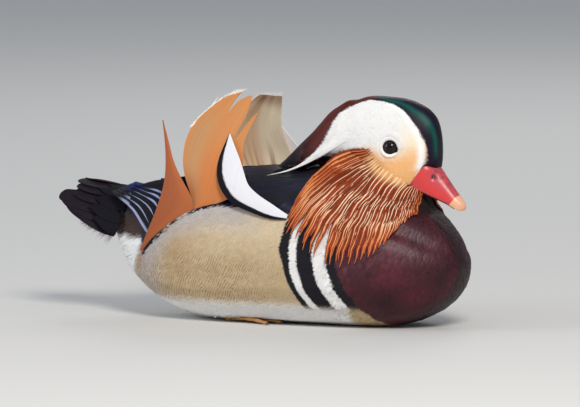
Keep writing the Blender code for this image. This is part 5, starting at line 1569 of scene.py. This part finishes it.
def tube(name, path, radii, tint, corners=14):
    """A closed tube along a path, with a radius at every place."""
    ways = unit(np.gradient(path, axis=0))
    side_way = unit(np.cross(ways, (0, 0, 1.0)))
    up = np.cross(side_way, ways)
    turn = np.linspace(0, 2 * math.pi, corners, endpoint=False)
    rings = (path[:, None] + side_way[:, None] * (radii[:, None] * np.cos(turn))[..., None]
             + up[:, None] * (radii[:, None] * np.sin(turn))[..., None])
    rings[..., 2] = np.maximum(rings[..., 2], TOE_LOWEST)
    return lofted(name, rings * MM, tint, 0.5, 0.6)


def web_grid(first, second):
    """The places of a web between two toes, which hangs a little and is drawn in at its front edge."""
    share = np.linspace(0, 1, 16)
    t = np.linspace(0.12, 1, 30)[:, None] * (0.9 - 0.2 * np.sin(math.pi * share))
    index = t * (len(first) - 1)
    places = np.arange(len(first))
    near, far = (np.stack([np.interp(index, places, line[:, axis]) for axis in range(3)], axis=-1)
                 for line in (first, second))
    grid = near * (1 - share[:, None]) + far * share[:, None]
    grid[..., 2] = np.maximum(WEB_LOWEST, grid[..., 2] - 0.9 * np.sin(math.pi * share))
    grid[..., 2] += 0.25 * np.sin(share * 5 * math.pi) * t
    return grid


def scaled_finish(name):
    """Horny skin with small scales over its stored tint."""
    material = horn_finish(name, LEG_MOTTLE, 0.6, 0.48)
    tree, base, skin_colour = base_of(material)
    place = wired(tree, "TexCoord", {}).outputs["Object"]
    scales = wired(tree, "TexVoronoi", {"Vector": place, "Scale": 900.0}, feature="DISTANCE_TO_EDGE")
    edge = mask(tree, scales.outputs["Distance"], 0.0, 0.16, low=0.55)
    darker = wired(tree, "VectorMath", {0: skin_colour, "Scale": edge}, operation="SCALE")
    tree.links.new(darker.outputs[0], base)
    relief = next(node for node in tree.nodes if node.type == "BUMP")
    relief.inputs["Strength"].default_value = 0.6
    tree.links.new(edge, relief.inputs["Height"])
    return material


leg_material = scaled_finish("leg_skin")
for label, side in SIDES:
    t = np.linspace(0, 1, 24)
    shank = HEEL + (SHANK_TOP - HEEL) * t[:, None]
    radii = SHANK_RADIUS * (1 + 0.18 * hump(t, 0.04, 0.08)) * (1 + 0.45 * t ** 2)
    leg = tube(f"shank_{label}", mirrored(shank, side), radii, LEG_ORANGE)
    dressed(leg, leg_material, "leg_skin", f"leg_{label}")
    parts, lines = [], []
    for tip, knuckles in TOES:
        t = np.linspace(0, 1, 40)
        line = HEEL + (np.array(tip) - HEEL) * t[:, None] + TOE_BOW * np.sin(math.pi * t)[:, None]
        lines.append(line)
        radii = TOE_RADIUS * (1 - 0.4 * t) * (1 + 0.16 * np.cos(t * 2 * math.pi * knuckles) * (t > 0.15))
        parts.append(tube("toe", mirrored(line, side), radii, LEG_ORANGE))
        way = unit(np.array(tip) - HEEL)
        share = np.linspace(-0.15, 1, 12)
        out = np.clip(share, 0, 1)
        claw = np.array(tip) + way * CLAW_LENGTH * share[:, None] + CLAW_DROP * out[:, None] ** 2
        radii = CLAW_RADIUS * np.maximum(1 - out ** 1.5, 0.08)
        parts.append(tube("claw", mirrored(claw, side), radii, CLAW_DARK, 10))
    for first, second in zip(lines[:-1], lines[1:]):
        grid = mirrored(web_grid(first, second), side) * MM
        parts.append(plate("web", grid, WEB_THICK, WEB_ORANGE, WEB_ORANGE, 0.5))
    foot = combined(f"toes_{label}", parts)
    dressed(foot, leg_material, "leg_skin", f"foot_{label}")
